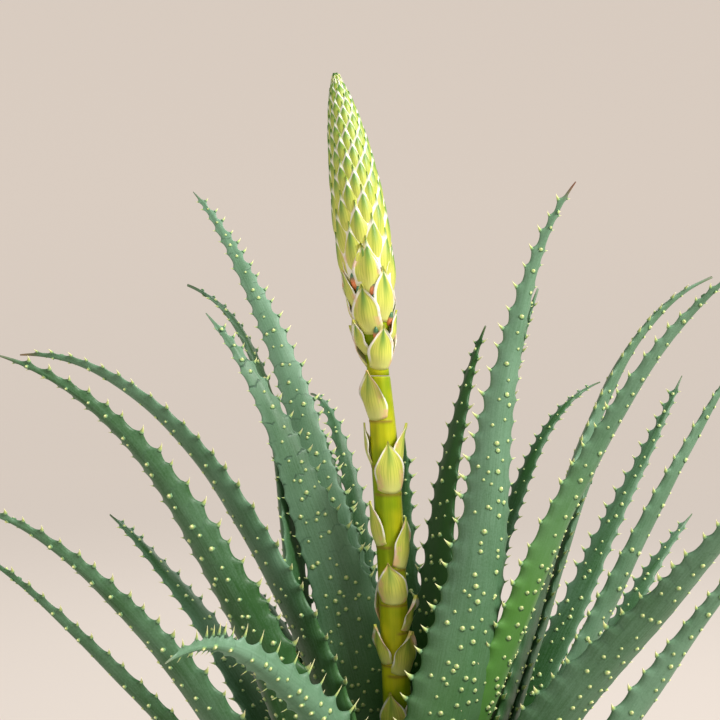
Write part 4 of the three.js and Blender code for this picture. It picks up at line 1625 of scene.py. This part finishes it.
@dataclass(frozen=True)
class Foliage:
    """All the leaves of the rosette."""

    stem: Stem
    finishes: Finishes

    def build(self) -> None:
        """Makes every leaf with its teeth and prickles."""
        tree = armour_tree()
        tooth = thorn_shape("tooth_shape", sides=6, rings=6, hook=1.1, blunt=1.1, skirt=0.2)
        prickle = thorn_shape("prickle_shape", sides=6, rings=4, hook=0.3, blunt=0.75, skirt=0.8)
        inputs = {"Tooth": tooth, "Prickle": prickle, "Skin": self.finishes.leaf, "Horn": self.finishes.thorn}
        inputs |= dict.fromkeys(FACTORS, 1.0)
        for number, leaf in enumerate(LEAVES, start=1):
            self.leaf(number, leaf, tree, inputs)
        bpy.data.objects.remove(tooth)
        bpy.data.objects.remove(prickle)

    def leaf(self, number: int, leaf: Leaf, tree: Tree, inputs: dict[str, object]) -> None:
        """Makes one leaf.

        Args:
            number: Its number, from the growing tip outwards.
            leaf: The leaf.
            tree: The tree that grows its teeth and prickles.
            inputs: The tree's inputs by name.
        """
        surface = LeafSurface(leaf, self.stem, number)
        points, faces, attributes = surface.blade()
        still = np.zeros_like(points)
        groups = (Sites(points, still, still, still), surface.tooth_sites(), surface.prickle_sites())
        sites = merged(groups)
        total = len(sites.foot)
        values = {key: np.append(column, np.zeros(total - len(points))) for key, column in attributes.items()}
        values["kind"] = np.repeat([kind.value for kind in Kind], [len(group.foot) for group in groups])
        for look in ("tone", "blush", "creased", "painted_foot_light"):
            values[look] = np.full(total, getattr(leaf, look))
        name = f"toothed_leaf_{number:02d}"
        source = new_object(f"{name}_plan", sites.foot * MM, faces, values | sites.vectors())
        piece = grown(source, tree, inputs, name)
        for spare in ("kind", "axis", "front", "size"):
            attribute = piece.data.attributes.get(spare)
            if attribute:
                piece.data.attributes.remove(attribute)
        finish_piece(piece, Slot.LEAF, f"leaf_{number:02d}")


# Pot and soil


@dataclass(frozen=True)
class Pot:
    """The round clay pot, in millimetres."""

    height: float = 140
    base_radius: float = 50
    shoulder_radius: float = 68
    collar_height: float = 30
    collar_radius: float = 72
    lip_radius: float = 75
    wall: float = 5
    floor: float = 8
    edge: float = 1.5
    drain_radius: float = 5
    drain_circle: float = 26
    drain_count: int = 3
    sides: int = 120

    def inner_radius(self, height: float) -> float:
        """The radius of the pot's inside at a height."""
        slope = (self.shoulder_radius - self.base_radius) / (self.height - self.collar_height)
        return self.base_radius - self.wall + slope * height

    def profile(self) -> Profile:
        """The wall's outline from the underside round the lip to the inner floor."""
        shoulder = self.height - self.collar_height
        edge = self.edge
        inside = self.inner_radius(self.height - edge)
        low = self.inner_radius(self.floor + edge)
        return (
            (0, 0), (self.base_radius - edge, 0), (self.base_radius, edge),
            (self.shoulder_radius, shoulder), (self.collar_radius - edge, shoulder),
            (self.collar_radius, shoulder + edge), (self.lip_radius, self.height - edge),
            (self.lip_radius - edge, self.height), (inside + edge, self.height),
            (inside, self.height - edge), (low, self.floor + edge),
            (self.inner_radius(self.floor) - edge, self.floor), (0, self.floor),
        )

    def build(self, finishes: Finishes) -> None:
        """Makes the pot with its drain holes.

        Args:
            finishes: The materials.
        """
        shape = bmesh.new()
        corners = [shape.verts.new((radius * MM, 0, level * MM)) for radius, level in self.profile()]
        edges = [shape.edges.new(pair) for pair in zip(corners, corners[1:])]
        bmesh.ops.spin(
            shape, geom=corners + edges, cent=(0, 0, 0), axis=(0, 0, 1), angle=math.tau,
            steps=self.sides, use_merge=True, use_duplicate=False,
        )
        bmesh.ops.remove_doubles(shape, verts=shape.verts, dist=0.01 * MM)
        bmesh.ops.recalc_face_normals(shape, faces=shape.faces)
        mesh = bpy.data.meshes.new("clay_pot")
        shape.to_mesh(mesh)
        shape.free()
        pot = linked("clay_pot_plan", mesh)
        drill = self.drill()
        cut = pot.modifiers.new("drains", "BOOLEAN")
        cut.object = drill
        cut.operation = "DIFFERENCE"
        cut.solver = "EXACT"
        rounding = pot.modifiers.new("soft edges", "BEVEL")
        rounding.width = 0.7 * MM
        rounding.segments = 3
        rounding.angle_limit = math.radians(25)
        rounding.use_clamp_overlap = True
        piece = baked(pot, "clay_pot")
        bpy.data.objects.remove(drill)
        piece.data.materials.clear()
        piece.data.materials.append(finishes.clay)
        piece.data.shade_smooth()
        piece.data.set_sharp_from_angle(angle=math.radians(40))
        finish_piece(piece, Slot.CLAY, "pot")

    def drill(self) -> Piece:
        """The bodies that the drain holes are cut with."""
        sides = 32
        rim = direction(np.arange(sides) * 360 / sides, 90) * self.drain_radius
        points, faces = [], []
        for turn in around(self.drain_count):
            centre = np.array([self.drain_circle * math.cos(turn), self.drain_circle * math.sin(turn), 0])
            start = len(points) * sides
            points += [rim + centre + np.array([0, 0, level]) for level in (-self.floor, 2 * self.floor)]
            faces += [[start + corner for corner in face] for face in tube_faces(2, sides)]
        return new_object("drain_drill", np.concatenate(points) * MM, faces)


@dataclass(frozen=True)
class Soil:
    """The soil, heaped a little round the stem, in millimetres."""

    pot: Pot
    top: float = 126
    mound: float = 4
    bottom: float = 8.3
    gap: float = 0.3
    hole: float = 12.8
    hole_bottom: float = 91.7
    lumps: int = 14
    lump_height: float = 2.6
    rings: int = 60
    sides: int = 150

    def build(self, finishes: Finishes) -> None:
        """Makes the soil and its crumbs.

        Args:
            finishes: The materials.
        """
        random = np.random.default_rng(4)
        waves = random.uniform(-1, 1, (self.lumps, 2)) * 0.55
        phases = random.uniform(0, math.tau, self.lumps)
        edge, low = self.bottom + 3, self.pot.inner_radius(self.bottom) - self.gap - 3
        rows = [(0.02, self.bottom, 0.0), (low, self.bottom, 0.0)]
        rows.append((self.pot.inner_radius(edge) - self.gap, edge, 0.0))
        rim = self.pot.inner_radius(self.top) - self.gap
        for share in np.arange(self.rings + 1) / self.rings:
            heap = self.mound * float(smoothstep(share, 0, 1))
            rows.append((lerp(rim, self.hole, share), self.top + heap, 1.0))
        rows += [(self.hole, self.hole_bottom, 0.0), (0.02, self.hole_bottom, 0.0)]
        points = []
        for radius, level, loose in rows:
            points.append(ring(radius, level, self.sides))
            lumps = np.sum(np.sin(points[-1][:, :2] @ waves.T + phases), axis=1) / self.lumps
            points[-1][:, 2] += loose * self.lump_height * lumps
        soil = new_object("soil_plan", np.concatenate(points) * MM, tube_faces(len(rows), self.sides))
        piece = grown(soil, crumb_tree(), {
            "Crumbs per square metre": 110000.0,
            "Seed": 3,
            "Smallest": 0.35 * MM,
            "Largest": 1.5 * MM,
            "Soil": finishes.soil,
            "Crumb": finishes.crumb,
        }, "potting_soil")
        finish_piece(piece, Slot.SOIL, "soil")


# Studio


@dataclass(frozen=True)
class Studio:
    """The photograph's camera, a plain pale floor and backdrop, and soft light."""

    camera_place: Place = (-0.016, -0.500, 0.390)
    lens: float = 62.5
    sensor: float = 36.0
    floor_radius: float = 4.5
    wall_height: float = 3.0
    sides: int = 96
    backdrop: Colour = (0.27, 0.25, 0.232)
    glow: Colour = (0.53, 0.465, 0.41)
    sky: Colour = (0.95, 0.97, 1.0)
    sky_strength: float = 0.33
    aim: Place = (0, 0, 0.33)

    def build(self) -> None:
        """Makes the camera, the backdrop, the lamps and the sky."""
        self.camera()
        self.stage()
        self.lamp("key", (1.05, -0.65, 1.25), 0.6, 33.0, (1.0, 0.98, 0.94))
        self.lamp("fill", (-1.2, -1.2, 0.9), 1.4, 4.0, (0.97, 0.99, 1.0))
        self.lamp("back", (0.3, 1.3, 1.4), 1.2, 12.0, (1.0, 0.98, 0.95))
        world = bpy.data.worlds.new("studio")
        bpy.context.scene.world = world
        world.use_nodes = True
        background = world.node_tree.nodes["Background"]
        background.inputs["Color"].default_value = (*self.sky, 1)
        background.inputs["Strength"].default_value = self.sky_strength
        bpy.context.scene.view_settings.view_transform = "Standard"

    def camera(self) -> None:
        """Sets the scene's camera level at the photograph's place."""
        data = bpy.data.cameras.new("camera")
        data.lens = self.lens
        data.sensor_width = self.sensor
        data.clip_end = 100
        camera = linked("camera", data)
        camera.location = self.camera_place
        camera.rotation_euler = (math.radians(90), 0, 0)
        bpy.context.scene.camera = camera

    def stage(self) -> None:
        """Makes the floor, which curves up into a wall all round."""
        rows = [(max(self.floor_radius * i / 8, 0.001), 0.0) for i in range(8)]
        for i in range(1, 13):
            turn = math.radians(i * 7.5)
            rows.append((self.floor_radius * (0.875 + 0.25 * math.sin(turn)), 1.1 * (1 - math.cos(turn))))
        rows.append((rows[-1][0], self.wall_height))
        points = np.concatenate([ring(radius, level, self.sides) for radius, level in rows])
        mesh = bpy.data.meshes.new("studio_floor")
        mesh.from_pydata(points.tolist(), [], tube_faces(len(rows), self.sides)[:-1])
        mesh.flip_normals()
        mesh.shade_smooth()
        floor = linked("studio_floor", mesh)
        material = bpy.data.materials.new("Plain backdrop")
        material.use_nodes = True
        shader = material.node_tree.nodes["Principled BSDF"]
        shader.inputs["Base Color"].default_value = (*self.backdrop, 1)
        shader.inputs["Roughness"].default_value = 0.95
        shader.inputs["Specular IOR Level"].default_value = 0.1
        shader.inputs["Emission Color"].default_value = (*self.glow, 1)
        shader.inputs["Emission Strength"].default_value = 1
        mesh.materials.append(material)

    def lamp(self, name: str, place: Place, size: float, power: float, colour: Colour) -> None:
        """Makes one soft square lamp aimed at the plant.

        Args:
            name: Its name.
            place: Its place.
            size: Side of the square, in metres.
            power: Its power, in watts.
            colour: Its colour.
        """
        data = bpy.data.lights.new(name, "AREA")
        data.size = size
        data.energy = power
        data.color = colour
        lamp = linked(name, data)
        lamp.location = place
        x, y, z = unit(np.array(self.aim) - np.array(place))
        lamp.rotation_euler = (math.acos(-z), 0, math.atan2(-x, y))
        lamp.visible_camera = False


def main() -> None:
    """Builds the plant, its pot and the studio."""
    logging.basicConfig(level=logging.INFO, format="%(name)s: %(message)s")
    Studio().build()
    finishes = Finishes()
    pot = Pot()
    pot.build(finishes)
    Soil(pot).build(finishes)
    stem = Stem()
    stem.build(finishes)
    FlowerStalk().build(finishes)
    FlowerSpike().build(finishes, cover_tree())
    Foliage(stem, finishes).build()


if __name__ == "__main__":
    main()
